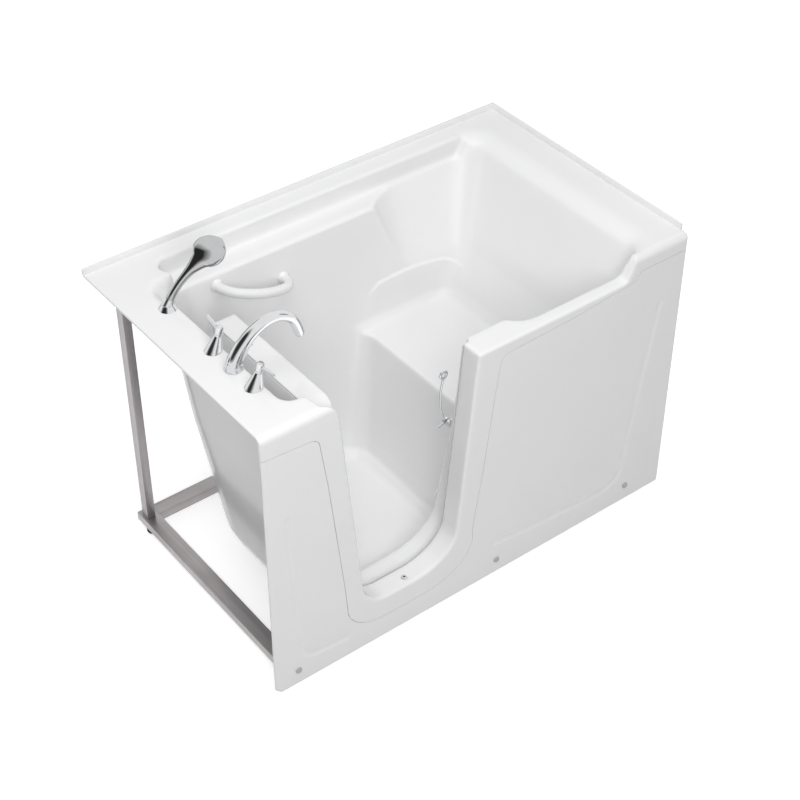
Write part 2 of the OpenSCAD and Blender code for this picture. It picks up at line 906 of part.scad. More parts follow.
module spray_face() {
    color(grey) in_head() difference() {
        translate([0, 0, 5]) cylinder(r = 37.8, h = 3.6);
        for (k = [1:3], i = [0:6 * k - 1]) rotate([0, 0, i * 60 / k])
            translate([k * 10.5, 0, 6.6]) cylinder(r = 1.4, h = 4, $fn = 16);
    }
}

module shower_tail() {
    color(steel) run([[shower_at[0], shower_at[1], 938], [shower_at[0], shower_at[1], 905],
        [shower_at[0], shower_at[1] - 30, 880], [shower_at[0], 0, 872], [shower_at[0], -44, 876]], 6);
}

// Drain and overflow.

module drain_flange() {
    color(chrome) translate([drain_at[0], drain_at[1], floor_z]) difference() {
        union() {
            cylinder(r1 = 38, r2 = 34, h = 3.5);
            translate([0, 0, -26]) cylinder(r = 21.9, h = 26.5);
        }
        translate([0, 0, -30]) cylinder(r = 18, h = 29);
        translate([0, 0, -2]) cylinder(r = 24, h = 8);
        translate([0, 0, -30]) cylinder(r = 3.05, h = 40);
    }
    color(chrome) translate([drain_at[0], drain_at[1], floor_z - 12]) difference() {
        for (a = [0, 60, 120]) rotate([0, 0, a]) translate([-18.5, -1.5, 0]) cube([37, 3, 4]);
        translate([0, 0, -1]) cylinder(r = 3.05, h = 6);
    }
}

module drain_stopper() {
    color(chrome) translate([drain_at[0], drain_at[1], floor_z]) {
        translate([0, 0, 8]) cylinder(r = 30, h = 4);
        translate([0, 0, -14]) cylinder(r = 3, h = 23);
    }
}

// Radius of the waste spigot.
spigot_r = 19;

module drain_body() {
    color(black) translate([drain_at[0], drain_at[1], 0]) difference() {
        union() {
            translate([0, 0, floor_z - wall - 24]) cylinder(r = 28, h = 23.7);
            translate([0, 0, 30]) cylinder(r = 24, h = 24);
            // spigot for the waste trap
            translate([0, 0, 10]) cylinder(r = spigot_r, h = 21);
        }
        translate([0, 0, 34]) cylinder(r = 22.2, h = 50);
        translate([0, 0, 9]) cylinder(r = spigot_r - 3, h = 30);
    }
}

module waste_pipe() {
    r = 16;
    color(pipe_white) {
        difference() {
            run([[drain_at[0], drain_at[1], 50], [drain_at[0], -334, 50], [drain_at[0], -334, 102],
                [52, -334, 102], [52, front_y + 34.5, 102], [52, front_y + 34.5, 843]], r);
            translate([drain_at[0], drain_at[1], 0]) cylinder(r = 28.2, h = 100);
        }
        at_overflow() {
            translate([0, 0, -52]) cylinder(r = 15, h = 38);
            translate([0, 0, -22]) cylinder(r = 26, h = 11.5);
        }
    }
}

module overflow_plate() {
    color(chrome) at_overflow() difference() {
        union() {
            cylinder(r1 = 38, r2 = 34, h = 6);
            translate([0, 0, -10]) cylinder(r = 19.9, h = 10.5);
        }
        translate([0, 0, -20]) cylinder(r = 6 + run_fit, h = 40);
        for (a = [150:30:390]) rotate([0, 0, a]) translate([13, 0, -12]) cylinder(r = 2.2, h = 30, $fn = 16);
    }
}

module overflow_knob() {
    color(chrome) at_overflow() {
        translate([0, 0, 6.4]) cylinder(r1 = 29, r2 = 26, h = 14);
        for (a = [0:45:315]) rotate([0, 0, a]) translate([27, 0, 6.4]) cylinder(r = 3, h = 11);
        translate([0, 0, -9]) cylinder(r = 6, h = 16);
    }
}

module sill_drain() {
    color(chrome) translate([open_x, -420, sill_z]) difference() {
        union() {
            cylinder(r1 = 10, r2 = 8.5, h = 1.6);
            translate([0, 0, -12]) cylinder(r = 5.9, h = 12.5);
        }
        translate([0, 0, -20]) cylinder(r = 4, h = 40);
    }
}

// Jets, suction and pump.

ball_r = 13;
trunnion_r = 2.5;

module jet_rings() {
    color(chrome) for (i = [0:3]) at_jet(i) difference() {
        union() {
            cylinder(r1 = 30, r2 = 26, h = 5);
            translate([0, 0, -26]) cylinder(r = jet_r - 0.1, h = 26.5);
        }
        translate([0, 0, -30]) cylinder(r = ball_r + run_fit, h = 50);
        translate([-16, 0, -4]) rotate([0, 90, 0]) cylinder(r = trunnion_r + run_fit, h = 32);
    }
}

module jet_nozzle(i) {
    color(chrome) at_jet(i) translate([0, 0, -4]) difference() {
        union() {
            sphere(r = ball_r);
            cylinder(r1 = 9, r2 = 8, h = 18);
            // trunnions that the nozzle tilts on
            for (s = [0, 1]) mirror([s, 0, 0]) translate([8, 0, 0]) rotate([0, 90, 0])
                cylinder(r = trunnion_r, h = 7);
        }
        translate([0, 0, -20]) cylinder(r = 4.5, h = 50);
    }
}

module jet_nozzle_1() {
    jet_nozzle(0);
}

module jet_nozzle_2() {
    jet_nozzle(1);
}

module jet_nozzle_3() {
    jet_nozzle(2);
}

module jet_nozzle_4() {
    jet_nozzle(3);
}

pipe_y = front_y + 32.5;
riser_x = 215;

module jet_cups() {
    color(pipe_white) for (i = [0:3]) at_jet(i) difference() {
        translate([0, 0, -36]) cylinder(r = 23, h = 24.5);
        translate([0, 0, -30]) cylinder(r = jet_r, h = 40);
    }
}

module jet_manifold() {
    color(pipe_white) {
        translate([riser_x, pipe_y, 380]) cylinder(r = 14, h = 390);
        jet_row(jet_at[0][0] - 16, jet_at[1][0] + 16, 604);
        jet_row(riser_x - 18, jet_at[3][0] + 16, 752);
        for (i = [0, 1]) jet_stub(jet_at[i][0], 604, 44.6);
        for (i = [2, 3]) jet_stub(jet_at[i][0], 752, 11.3);
    }
}

module jet_row(x0, x1, z) {
    translate([x0, pipe_y, z]) rotate([0, 90, 0]) cylinder(r = 12, h = x1 - x0);
}

module jet_stub(x, z, len) {
    translate([x, pipe_y, z]) rotate([-90, 0, 0]) cylinder(r = 9, h = len);
}

volute_x = 130;
pump_z = 150;

module pressure_pipe() {
    color(pipe_white) difference() {
        run([[riser_x, 0, 262], [riser_x, 0, 330], [riser_x, pipe_y, 330], [riser_x, pipe_y, 372]], 13);
        translate([riser_x - 30, pipe_y - 30, 379.7]) cube([60, 60, 40]);
        translate([riser_x - 40, -40, 0]) cube([80, 80, 250.3]);
    }
}

module suction_grille() {
    color(white) at_suction() difference() {
        union() {
            cylinder(r1 = 35, r2 = 31, h = 7);
            translate([0, 0, -10]) cylinder(r = 19.9, h = 10.5);
        }
        for (k = [1:3], j = [0:6 * k - 1]) rotate([0, 0, j * 60 / k])
            translate([k * 5.3, 0, -12]) cylinder(r = 1.8, h = 30, $fn = 16);
        for (j = [0:23]) rotate([0, 0, j * 15]) translate([25, 0, 3]) cylinder(r = 1.8, h = 10, $fn = 16);
    }
}

module suction_pipe() {
    color(pipe_white) difference() {
        union() {
            at_suction() {
                translate([0, 0, -24]) cylinder(r = 26, h = 13.5);
                translate([0, 0, -66]) cylinder(r = 17, h = 44);
            }
            run([[-32, -375, 295], [-32, -375, 149], [volute_x, -375, 149], [volute_x, 0, 149],
                [158, 0, 149]], 17);
        }
        translate([160, -100, 0]) cube([60, 200, 400]);
    }
}

module pump_volute() {
    color(black) {
        translate([160.3, 0, pump_z]) rotate([0, 90, 0]) cylinder(r = 72, h = 70);
        translate([riser_x, 0, pump_z]) cylinder(r = 15, h = 100);
        translate([178, -50, 64]) cube([40, 100, 40]);
    }
}

module pump_motor() {
    color([0.25, 0.27, 0.3]) difference() {
        union() {
            translate([230.3, 0, pump_z]) rotate([0, 90, 0]) cylinder(r = 62, h = 165);
            translate([250, -45, 64]) cube([120, 90, 40]);
            translate([270, -30, 205]) cube([80, 60, 30]);
            for (i = [0:9]) translate([250 + i * 11, 0, pump_z]) rotate([0, 90, 0]) cylinder(r = 66, h = 4);
        }
        for (a = [0:30:330]) translate([385, 45 * cos(a), pump_z + 45 * sin(a)]) rotate([0, 90, 0])
            cylinder(r = 5, h = 30, $fn = 16);
    }
}

module pump_tray() {
    color(steel) difference() {
        translate([-18, -110, rail_top]) cube([bar_x[2] + rail_w + 18, 220, 6]);
        for (x = [60, 120], y = [-80, 0, 80]) translate([x, y, 40]) cylinder(r = 14, h = 40);
    }
}

module air_knob() {
    color(chrome) at_knob() {
        translate([0, 0, 0.3]) cylinder(r1 = 19, r2 = 16, h = 12);
        translate([-2, -17, 8]) cube([4, 34, 8]);
        translate([0, 0, -24]) cylinder(r = knob_r - run_fit, h = 25);
    }
}

module pump_button() {
    color(chrome) at_button() {
        translate([0, 0, 3.2]) cylinder(r1 = 16, r2 = 14, h = 4);
        translate([0, 0, -24]) cylinder(r = knob_r - run_fit, h = 28);
    }
}

tub_shell();
front_panel();
panel_screws();
screw_caps();
end_rails();
long_rails();
cross_bars();
frame_posts();
foot_pads();
foot_studs();
foot_nuts();
floor_bearers();
seat_props();
door_shell();
door_back();
door_seal();
door_catch();
rod_keeper();
hinge_brackets();
hinge_pins();
latch_bracket();
latch_lever();
grab_bar();
spout();
spout_base();
spout_aerator();
tap_base_hot();
tap_lever_hot();
tap_base_cold();
tap_lever_cold();
valve_bodies();
deck_nuts();
mixing_pipe();
shower_cradle();
hand_shower();
spray_face();
shower_tail();
drain_flange();
drain_stopper();
drain_body();
waste_pipe();
overflow_plate();
overflow_knob();
sill_drain();
jet_rings();
jet_nozzle_1();
jet_nozzle_2();
jet_nozzle_3();
jet_nozzle_4();
jet_cups();
jet_manifold();
pressure_pipe();
suction_grille();
suction_pipe();
pump_volute();
pump_motor();
pump_tray();
air_knob();
pump_button();
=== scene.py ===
import math

import bmesh
import bpy
from mathutils import Matrix, Vector
from mathutils.bvhtree import BVHTree


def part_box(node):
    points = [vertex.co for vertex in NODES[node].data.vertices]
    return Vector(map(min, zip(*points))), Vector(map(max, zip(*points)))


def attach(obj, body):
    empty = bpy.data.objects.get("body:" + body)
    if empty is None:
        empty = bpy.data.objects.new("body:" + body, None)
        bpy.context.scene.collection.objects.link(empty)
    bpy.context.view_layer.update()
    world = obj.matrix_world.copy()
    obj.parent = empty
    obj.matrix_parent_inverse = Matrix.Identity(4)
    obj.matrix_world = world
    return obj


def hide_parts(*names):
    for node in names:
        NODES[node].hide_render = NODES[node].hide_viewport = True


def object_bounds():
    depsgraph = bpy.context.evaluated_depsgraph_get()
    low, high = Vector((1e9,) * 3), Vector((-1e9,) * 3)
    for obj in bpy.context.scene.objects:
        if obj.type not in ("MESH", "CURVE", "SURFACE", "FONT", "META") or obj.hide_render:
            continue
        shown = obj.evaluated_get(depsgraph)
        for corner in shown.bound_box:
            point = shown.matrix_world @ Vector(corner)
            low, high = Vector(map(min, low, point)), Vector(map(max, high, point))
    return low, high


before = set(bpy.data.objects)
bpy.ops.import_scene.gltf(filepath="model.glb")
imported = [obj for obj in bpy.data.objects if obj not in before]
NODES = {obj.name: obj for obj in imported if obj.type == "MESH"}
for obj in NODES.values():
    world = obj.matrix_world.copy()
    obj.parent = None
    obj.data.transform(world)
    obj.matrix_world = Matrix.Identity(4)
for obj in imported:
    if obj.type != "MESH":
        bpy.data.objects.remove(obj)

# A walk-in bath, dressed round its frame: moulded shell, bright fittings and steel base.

CAD_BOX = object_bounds()

bl_info = {
    "name": "Walk-in bath",
    "version": (1, 0, 0),
    "blender": (4, 5, 0),
    "location": "View3D > Sidebar > Bath",
    "description": "Models the shell, fittings and frame of a walk-in bath round its fixed parts",
    "category": "Add Mesh",
}

Y, Z = Vector((0, 1, 0)), Vector((0, 0, 1))
DECK_WALL = 0.010
DECK_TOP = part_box("deck_nuts")[1].z + DECK_WALL
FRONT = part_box("front_panel")[0].y
SKIN = 0.009
SEAM = 0.0015
MERGE = 0.00001
CUT_GAP = 0.0003
GROOVE = 0.003
HEAD_TOP = 0.020
THINNEST = 0.0006


def middle(node):
    """Centre of a node's box."""
    low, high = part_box(node)
    return (low + high) / 2


# Sizes and colours that a user would change


class BathSizes(bpy.types.PropertyGroup):
    voxel: bpy.props.FloatProperty(
        name="Shell detail", description="Grid that the moulded shell is cast on",
        default=0.0042, min=0.003, max=0.02, unit="LENGTH")
    shell_passes: bpy.props.IntProperty(
        name="Shell softness", description="Smoothing passes over the basin's edges",
        default=26, min=0, max=80)
    rim_passes: bpy.props.IntProperty(
        name="Rim softness", description="Smoothing passes over the thin outer edges",
        default=5, min=0, max=20)
    pad: bpy.props.FloatProperty(
        name="Back pad", description="How far the pad beside the seat stands out",
        default=0.006, min=0, max=0.02, unit="LENGTH")
    relief: bpy.props.FloatProperty(
        name="Relief depth", description="Depth of the soft outlines on the skirt",
        default=0.0026, min=0, max=0.005, unit="LENGTH")
    brow: bpy.props.FloatProperty(
        name="Deck edge", description="Radius of the deck's front edge",
        default=0.024, min=0.004, max=0.04, unit="LENGTH")
    edge: bpy.props.FloatProperty(
        name="Edge", description="Rounding of the cut metal edges",
        default=0.0012, min=0.0002, max=0.004, unit="LENGTH")


class BathColours(bpy.types.PropertyGroup):
    shell: bpy.props.FloatVectorProperty(
        name="Shell", description="Gel coat of the shell, panel and door",
        default=(0.84, 0.84, 0.845), subtype="COLOR", size=3, min=0, max=1)
    chrome: bpy.props.FloatVectorProperty(
        name="Chrome", description="Polished plating of the fittings",
        default=(0.74, 0.745, 0.755), subtype="COLOR", size=3, min=0, max=1)
    steel: bpy.props.FloatVectorProperty(
        name="Frame steel", description="Brushed tube of the base frame",
        default=(0.43, 0.408, 0.412), subtype="COLOR", size=3, min=0, max=1)
    rubber: bpy.props.FloatVectorProperty(
        name="Rubber", description="Feet",
        default=(0.012, 0.012, 0.013), subtype="COLOR", size=3, min=0, max=1)


class StageSettings(bpy.types.PropertyGroup):
    azimuth: bpy.props.FloatProperty(
        name="Azimuth", description="Where the camera stands round the bath",
        default=math.radians(-37.4974), subtype="ANGLE")
    elevation: bpy.props.FloatProperty(
        name="Elevation", description="Height of the camera above the horizon",
        default=math.radians(40.1770), subtype="ANGLE")
    roll: bpy.props.FloatProperty(
        name="Roll", description="Turn of the camera about its own line of sight",
        default=math.radians(0.096), subtype="ANGLE")
    eye: bpy.props.FloatVectorProperty(
        name="Eye", description="Place of the camera",
        default=(-2.49176, -3.29418, 3.92899), subtype="TRANSLATION", size=3)
    lens: bpy.props.FloatProperty(
        name="Lens", description="Focal length in millimetres", default=78.28, min=20, max=200)


# Mesh helpers


def pick_only(obj):
    """Selects one object and makes it active."""
    bpy.ops.object.select_all(action="DESELECT")
    obj.select_set(True)
    bpy.context.view_layer.objects.active = obj


def edit(obj):
    """Opens an object for editing and gives its mesh."""
    pick_only(obj)
    bpy.ops.object.mode_set(mode="EDIT")
    return bmesh.from_edit_mesh(obj.data)


def done():
    bpy.ops.object.mode_set(mode="OBJECT")


def modify(obj, kind, **settings):
    """Adds one modifier, sets it and applies it."""
    pick_only(obj)
    modifier = obj.modifiers.new(kind.lower(), kind)
    for key, value in settings.items():
        setattr(modifier, key, value)
    bpy.ops.object.modifier_apply(modifier=modifier.name)
    return obj


def copy_of(name):
    """The named node's mesh, merged, as an object of its own."""
    obj = bpy.data.objects.new(name + "_copy", NODES[name].data.copy())
    bpy.context.scene.collection.objects.link(obj)
    obj.data.materials.clear()
    edit(obj)
    bpy.ops.mesh.select_all(action="SELECT")
    bpy.ops.mesh.remove_doubles(threshold=MERGE)
    bpy.ops.mesh.customdata_custom_splitnormals_clear()
    done()
    return obj


def trim(obj, point, normal):
    """Cuts off what lies on the normal's side of a plane and closes the cut."""
    edit(obj)
    bpy.ops.mesh.select_all(action="SELECT")
    bpy.ops.mesh.bisect(plane_co=point, plane_no=normal, clear_outer=True, use_fill=True)
    done()
    return obj


def shade(obj, angle=35):
    """Smooth shading, with edges sharper than the angle kept."""
    pick_only(obj)
    bpy.ops.object.shade_smooth_by_angle(angle=math.radians(angle))
    return obj


def dress(obj, name, body, finish, stands_for=()):
    """Names a finished piece, gives it its finish and its body, and hides the nodes it stands for."""
    obj.name = name
    obj.data.name = name
    obj.data.materials.clear()
    obj.data.materials.append(finish)
    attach(obj, body)
    if stands_for:
        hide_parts(*stands_for)


def softened(node, name, body, finish, width=0.0012, segments=2):
    """A node with its cut edges rounded."""
    obj = copy_of(node)
    edit(obj)
    bpy.ops.mesh.select_all(action="SELECT")
    bpy.ops.mesh.dissolve_limited(angle_limit=math.radians(0.8))
    done()
    modify(obj, "BEVEL", width=width, segments=segments, limit_method="ANGLE",
           angle_limit=math.radians(32), use_clamp_overlap=True)
    modify(obj, "WEIGHTED_NORMAL", keep_sharp=True, weight=80)
    shade(obj, 40)
    dress(obj, name, body, finish, [node])


def plated(node, finish):
    """A node that keeps its own mesh and only takes a finish."""
    obj = NODES[node]
    obj.data.materials.clear()
    obj.data.materials.append(finish)


def eased(points, steps):
    """The same list with points put between by a smooth curve through it."""
    rows = []
    last = len(points) - 1
    for i in range(last):
        p0, p1, p2, p3 = (points[max(0, i - 1)], points[i], points[i + 1], points[min(last, i + 2)])
        for s in range(steps):
            t = s / steps
            rows.append(tuple(
                0.5 * (2 * b + (c - a) * t + (2 * a - 5 * b + 4 * c - d) * t ** 2
                       + (3 * b - a - 3 * c + d) * t ** 3)
                for a, b, c, d in zip(p0, p1, p2, p3)))
    rows.append(tuple(points[last]))
    return rows


def ring_place(centre, axis, across, half_across, half_deep):
    """Matrix that lays a unit circle at a station of a loft."""
    axis = Vector(axis).normalized()
    side = (Vector(across) - Vector(across).dot(axis) * axis).normalized()
    deep = axis.cross(side)
    return Matrix((
        (side.x * half_across, deep.x * half_deep, axis.x * half_across, centre[0]),
        (side.y * half_across, deep.y * half_deep, axis.y * half_across, centre[1]),
        (side.z * half_across, deep.z * half_deep, axis.z * half_across, centre[2]),
        (0, 0, 0, 1)))


def loft(stations, sides=32):
    """A closed body drawn through its stations, one extrusion for each."""
    bpy.ops.object.select_all(action="DESELECT")
    bpy.ops.mesh.primitive_circle_add(vertices=sides, radius=1, fill_type="NGON")
    obj = bpy.context.object
    bpy.ops.object.mode_set(mode="EDIT")
    placed = Matrix.Identity(4)
    for number, station in enumerate(stations):
        if number:
            bpy.ops.mesh.extrude_region_move(TRANSFORM_OT_translate={"value": (0, 0, 0)})
        target = ring_place(*station)
        mesh = bmesh.from_edit_mesh(obj.data)
        ring = [v for v in mesh.verts if v.select]
        bmesh.ops.transform(mesh, matrix=target @ placed.inverted(), verts=ring)
        bmesh.update_edit_mesh(obj.data)
        placed = target
    bpy.ops.mesh.select_all(action="SELECT")
    bpy.ops.mesh.normals_make_consistent(inside=False)
    done()
    return obj


def tube(rows, across):
    """Stations of a round loft along rows of (x, y, z, radius)."""
    stations = []
    for i, row in enumerate(rows):
        before = Vector(rows[max(0, i - 1)][:3])
        after = Vector(rows[min(len(rows) - 1, i + 1)][:3])
        stations.append((row[:3], after - before, across, row[3], row[3]))
    return stations


def turned(profile, sides=64):
    """A solid turned about Z through (radius, height) points, one extrusion for each."""
    radius, height = profile[0]
    bpy.ops.object.select_all(action="DESELECT")
    bpy.ops.mesh.primitive_circle_add(vertices=sides, radius=radius, fill_type="NGON")
    obj = bpy.context.object
    bpy.ops.object.mode_set(mode="EDIT")
    bpy.ops.transform.translate(value=(0, 0, height))
    for next_radius, next_height in profile[1:]:
        bpy.ops.mesh.extrude_region_move(
            TRANSFORM_OT_translate={"value": (0, 0, next_height - height)})
        grow = next_radius / radius
        bpy.ops.transform.resize(value=(grow, grow, 1), center_override=(0, 0, next_height))
        radius, height = next_radius, next_height
    bpy.ops.mesh.select_all(action="SELECT")
    bpy.ops.mesh.normals_make_consistent(inside=False)
    done()
    return obj


def put(obj, place):
    """Moves a finished mesh to its place and leaves its object at the origin."""
    obj.data.transform(place)
    obj.data.update()
    return obj


def join(objs):
    """Makes one object of several."""
    pick_only(objs[0])
    for obj in objs[1:]:
        obj.select_set(True)
    bpy.ops.object.join()
    return bpy.context.view_layer.objects.active


# Finishes


def blank(name):
    """A new material with its tree and its main shader."""
    material = bpy.data.materials.new(name)
    material.use_nodes = True
    tree = material.node_tree
    return material, tree, tree.nodes["Principled BSDF"]


def pattern(tree, kind, stretch=(1, 1, 1), **settings):
    """A texture on Object coordinates, stretched along an axis."""
    coordinates = tree.nodes.new("ShaderNodeTexCoord")
    mapping = tree.nodes.new("ShaderNodeMapping")
    mapping.inputs["Scale"].default_value = stretch
    texture = tree.nodes.new(kind)
    for key, value in settings.items():
        texture.inputs[key].default_value = value
    tree.links.new(coordinates.outputs["Object"], mapping.inputs["Vector"])
    tree.links.new(mapping.outputs["Vector"], texture.inputs["Vector"])
    return texture.outputs[0]


def spread(tree, source, low, high, start=0.3, end=0.7):
    """Takes a pattern to a range of values."""
    node = tree.nodes.new("ShaderNodeMapRange")
    node.inputs["From Min"].default_value = start
    node.inputs["From Max"].default_value = end
    node.inputs["To Min"].default_value = low
    node.inputs["To Max"].default_value = high
    tree.links.new(source, node.inputs["Value"])
    return node.outputs["Result"]


def tinted(tree, source, first, second):
    """Mixes two colours by a pattern."""
    node = tree.nodes.new("ShaderNodeMix")
    node.data_type = "RGBA"
    node.inputs[6].default_value = (*first, 1)
    node.inputs[7].default_value = (*second, 1)
    tree.links.new(source, node.inputs[0])
    return node.outputs[2]


def bumped(tree, shader, heights):
    """Stacks bumps of (pattern, strength, distance) on a shader."""
    below = None
    for source, strength, distance in heights:
        node = tree.nodes.new("ShaderNodeBump")
        node.inputs["Strength"].default_value = strength
        node.inputs["Distance"].default_value = distance
        tree.links.new(source, node.inputs["Height"])
        if below:
            tree.links.new(below, node.inputs["Normal"])
        below = node.outputs["Normal"]
    tree.links.new(below, shader.inputs["Normal"])


def colour_by(tree, shader, source, first, second, start=0.3, end=0.7):
    """Lets a pattern take the colour from one shade to another."""
    share = spread(tree, source, 0, 1, start, end)
    tree.links.new(tinted(tree, share, first, second), shader.inputs["Base Color"])


def gloss_by(tree, shader, source, low, high, start=0.3, end=0.7):
    """Lets a pattern take the roughness from low to high."""
    tree.links.new(spread(tree, source, low, high, start, end), shader.inputs["Roughness"])


def shaded(colour, share):
    """A colour made darker or lighter."""
    return tuple(min(1.0, c * share) for c in colour)


def gel_coat(name, colour):
    """Glossy white gel coat: faint mottling, a slow ripple and fine orange peel."""
    material, tree, shader = blank(name)
    mottle = pattern(tree, "ShaderNodeTexNoise", Scale=5.0, Detail=3.0)
    ripple = pattern(tree, "ShaderNodeTexNoise", Scale=7.0, Detail=1.0)
    peel = pattern(tree, "ShaderNodeTexNoise", Scale=420.0, Detail=2.0)
    colour_by(tree, shader, mottle, shaded(colour, 0.985), colour)
    gloss_by(tree, shader, mottle, 0.15, 0.24)
    shader.inputs["Coat Weight"].default_value = 0.35
    shader.inputs["Coat Roughness"].default_value = 0.06
    bumped(tree, shader, [(ripple, 0.10, 0.004), (peel, 0.05, 0.0002)])
    return material


def polished(name, colour, low=0.04, high=0.12):
    """Plated metal: water spots and faint wiping marks in the gloss."""
    material, tree, shader = blank(name)
    spots = pattern(tree, "ShaderNodeTexNoise", Scale=38.0, Detail=4.0)
    wipe = pattern(tree, "ShaderNodeTexNoise", (40, 40, 260), Scale=3.0, Detail=2.0)
    shader.inputs["Metallic"].default_value = 1.0
    colour_by(tree, shader, spots, shaded(colour, 0.96), colour)
    gloss_by(tree, shader, spots, low, high)
    bumped(tree, shader, [(wipe, 0.02, 0.0002)])
    return material


def brushed(name, colour, stretch):
    """Brushed tube: long scratches along the tube and clouding between them."""
    material, tree, shader = blank(name)
    lines = pattern(tree, "ShaderNodeTexNoise", stretch, Scale=9.0, Detail=5.0, Roughness=0.7)
    cloud = pattern(tree, "ShaderNodeTexNoise", Scale=11.0, Detail=3.0)
    shader.inputs["Metallic"].default_value = 0.85
    colour_by(tree, shader, lines, shaded(colour, 0.80), shaded(colour, 1.12), 0.25, 0.75)
    gloss_by(tree, shader, cloud, 0.34, 0.50)
    bumped(tree, shader, [(lines, 0.12, 0.0004)])
    return material


def rubber(name, colour):
    """Black rubber: fine grain and a little dust."""
    material, tree, shader = blank(name)
    grain = pattern(tree, "ShaderNodeTexNoise", Scale=300.0, Detail=3.0)
    dust = pattern(tree, "ShaderNodeTexNoise", Scale=24.0, Detail=4.0)
    colour_by(tree, shader, dust, colour, shaded(colour, 3.0), 0.5, 0.8)
    gloss_by(tree, shader, grain, 0.62, 0.82)
    bumped(tree, shader, [(grain, 0.25, 0.0003)])
    return material


def moulded_plastic(name, colour, low=0.30, high=0.44):
    """Pipe and trim plastic: slight flow marks and a satin skin."""
    material, tree, shader = blank(name)
    flow = pattern(tree, "ShaderNodeTexNoise", (1, 1, 6), Scale=14.0, Detail=3.0)
    grain = pattern(tree, "ShaderNodeTexNoise", Scale=520.0, Detail=2.0)
    colour_by(tree, shader, flow, shaded(colour, 0.93), colour)
    gloss_by(tree, shader, flow, low, high)
    bumped(tree, shader, [(grain, 0.10, 0.0002)])
    return material


def plain_metal(name, colour, low=0.26, high=0.42, grain_size=160.0):
    """Cast, plated or turned metal with a fine grain."""
    material, tree, shader = blank(name)
    grain = pattern(tree, "ShaderNodeTexNoise", Scale=grain_size, Detail=4.0)
    stain = pattern(tree, "ShaderNodeTexNoise", Scale=20.0, Detail=3.0)
    shader.inputs["Metallic"].default_value = 0.95
    colour_by(tree, shader, stain, shaded(colour, 0.82), colour)
    gloss_by(tree, shader, grain, low, high)
    bumped(tree, shader, [(grain, 0.12, 0.0003)])
    return material


def painted_casting(name, colour):
    """Painted cast metal with a pebbled skin."""
    material, tree, shader = blank(name)
    grain = pattern(tree, "ShaderNodeTexVoronoi", Scale=340.0)
    wear = pattern(tree, "ShaderNodeTexNoise", Scale=32.0, Detail=5.0)
    colour_by(tree, shader, wear, colour, shaded(colour, 1.5), 0.45, 0.75)
    gloss_by(tree, shader, wear, 0.36, 0.55)
    bumped(tree, shader, [(grain, 0.15, 0.0004)])
    return material


def pressed_board(name, colour):
    """Pressed board: layers and flecks along its length."""
    material, tree, shader = blank(name)
    layers = pattern(tree, "ShaderNodeTexWave", Scale=60.0, Distortion=5.0, Detail=3.0)
    fleck = pattern(tree, "ShaderNodeTexNoise", (30, 160, 160), Scale=1.5, Detail=4.0)
    colour_by(tree, shader, fleck, shaded(colour, 0.7), shaded(colour, 1.2))
    gloss_by(tree, shader, fleck, 0.6, 0.8)
    bumped(tree, shader, [(layers, 0.15, 0.0005)])
    return material


def braided(name, colour):
    """Steel braid: two crossing sets of fine wires."""
    material, tree, shader = blank(name)
    right = pattern(tree, "ShaderNodeTexWave", Scale=130.0, Distortion=0.4)
    left = pattern(tree, "ShaderNodeTexWave", (-1, 1, 1), Scale=130.0, Distortion=0.4)
    shader.inputs["Metallic"].default_value = 0.9
    colour_by(tree, shader, right, shaded(colour, 0.45), colour, 0, 1)
    gloss_by(tree, shader, left, 0.25, 0.45, 0, 1)
    bumped(tree, shader, [(right, 0.4, 0.0006), (left, 0.4, 0.0006)])
    return material


FINISH = {}


def make_finishes(colours):
    white, chrome, steel = tuple(colours.shell), tuple(colours.chrome), tuple(colours.steel)
    FINISH.update({
        "shell": gel_coat("gel_coat", white),
        "door": gel_coat("door_gel_coat", white),
        "chrome": polished("chrome_plate", chrome),
        # The hand shower's plating is the chrome made darker: painted shade, standing in for the darker
        # reflections on its head.
        "shower": polished("shower_plate_painted_shade", shaded(chrome, 0.74)),
        "spray": moulded_plastic("spray_rubber_grey", (0.20, 0.205, 0.215)),
        "frame_x": brushed("brushed_along_x", steel, (0.5, 26, 26)),
        "frame_y": brushed("brushed_along_y", steel, (26, 0.5, 26)),
        "frame_z": brushed("brushed_along_z", steel, (26, 26, 0.5)),
        "rubber": rubber("foot_rubber", tuple(colours.rubber)),
        "zinc": plain_metal("zinc_plate", (0.56, 0.56, 0.57)),
        "stainless": plain_metal("stainless", (0.60, 0.59, 0.58), 0.2, 0.34),
        "cap": moulded_plastic("screw_cap_grey", (0.46, 0.47, 0.48)),
        "brass": plain_metal("brass", (0.62, 0.46, 0.20), 0.22, 0.36, 240.0),
        "seal": moulded_plastic("seal_silicone", (0.66, 0.66, 0.66), 0.4, 0.55),
        "pipe": moulded_plastic("pipe_white_plastic", (0.72, 0.72, 0.69)),
        "black_pipe": moulded_plastic("pipe_black_plastic", (0.02, 0.02, 0.022)),
        "motor": painted_casting("motor_paint", (0.045, 0.05, 0.058)),
        "board": pressed_board("pressed_board", (0.16, 0.14, 0.12)),
        "braid": braided("steel_braid", (0.62, 0.62, 0.63)),
    })


# Shell, skirt and door


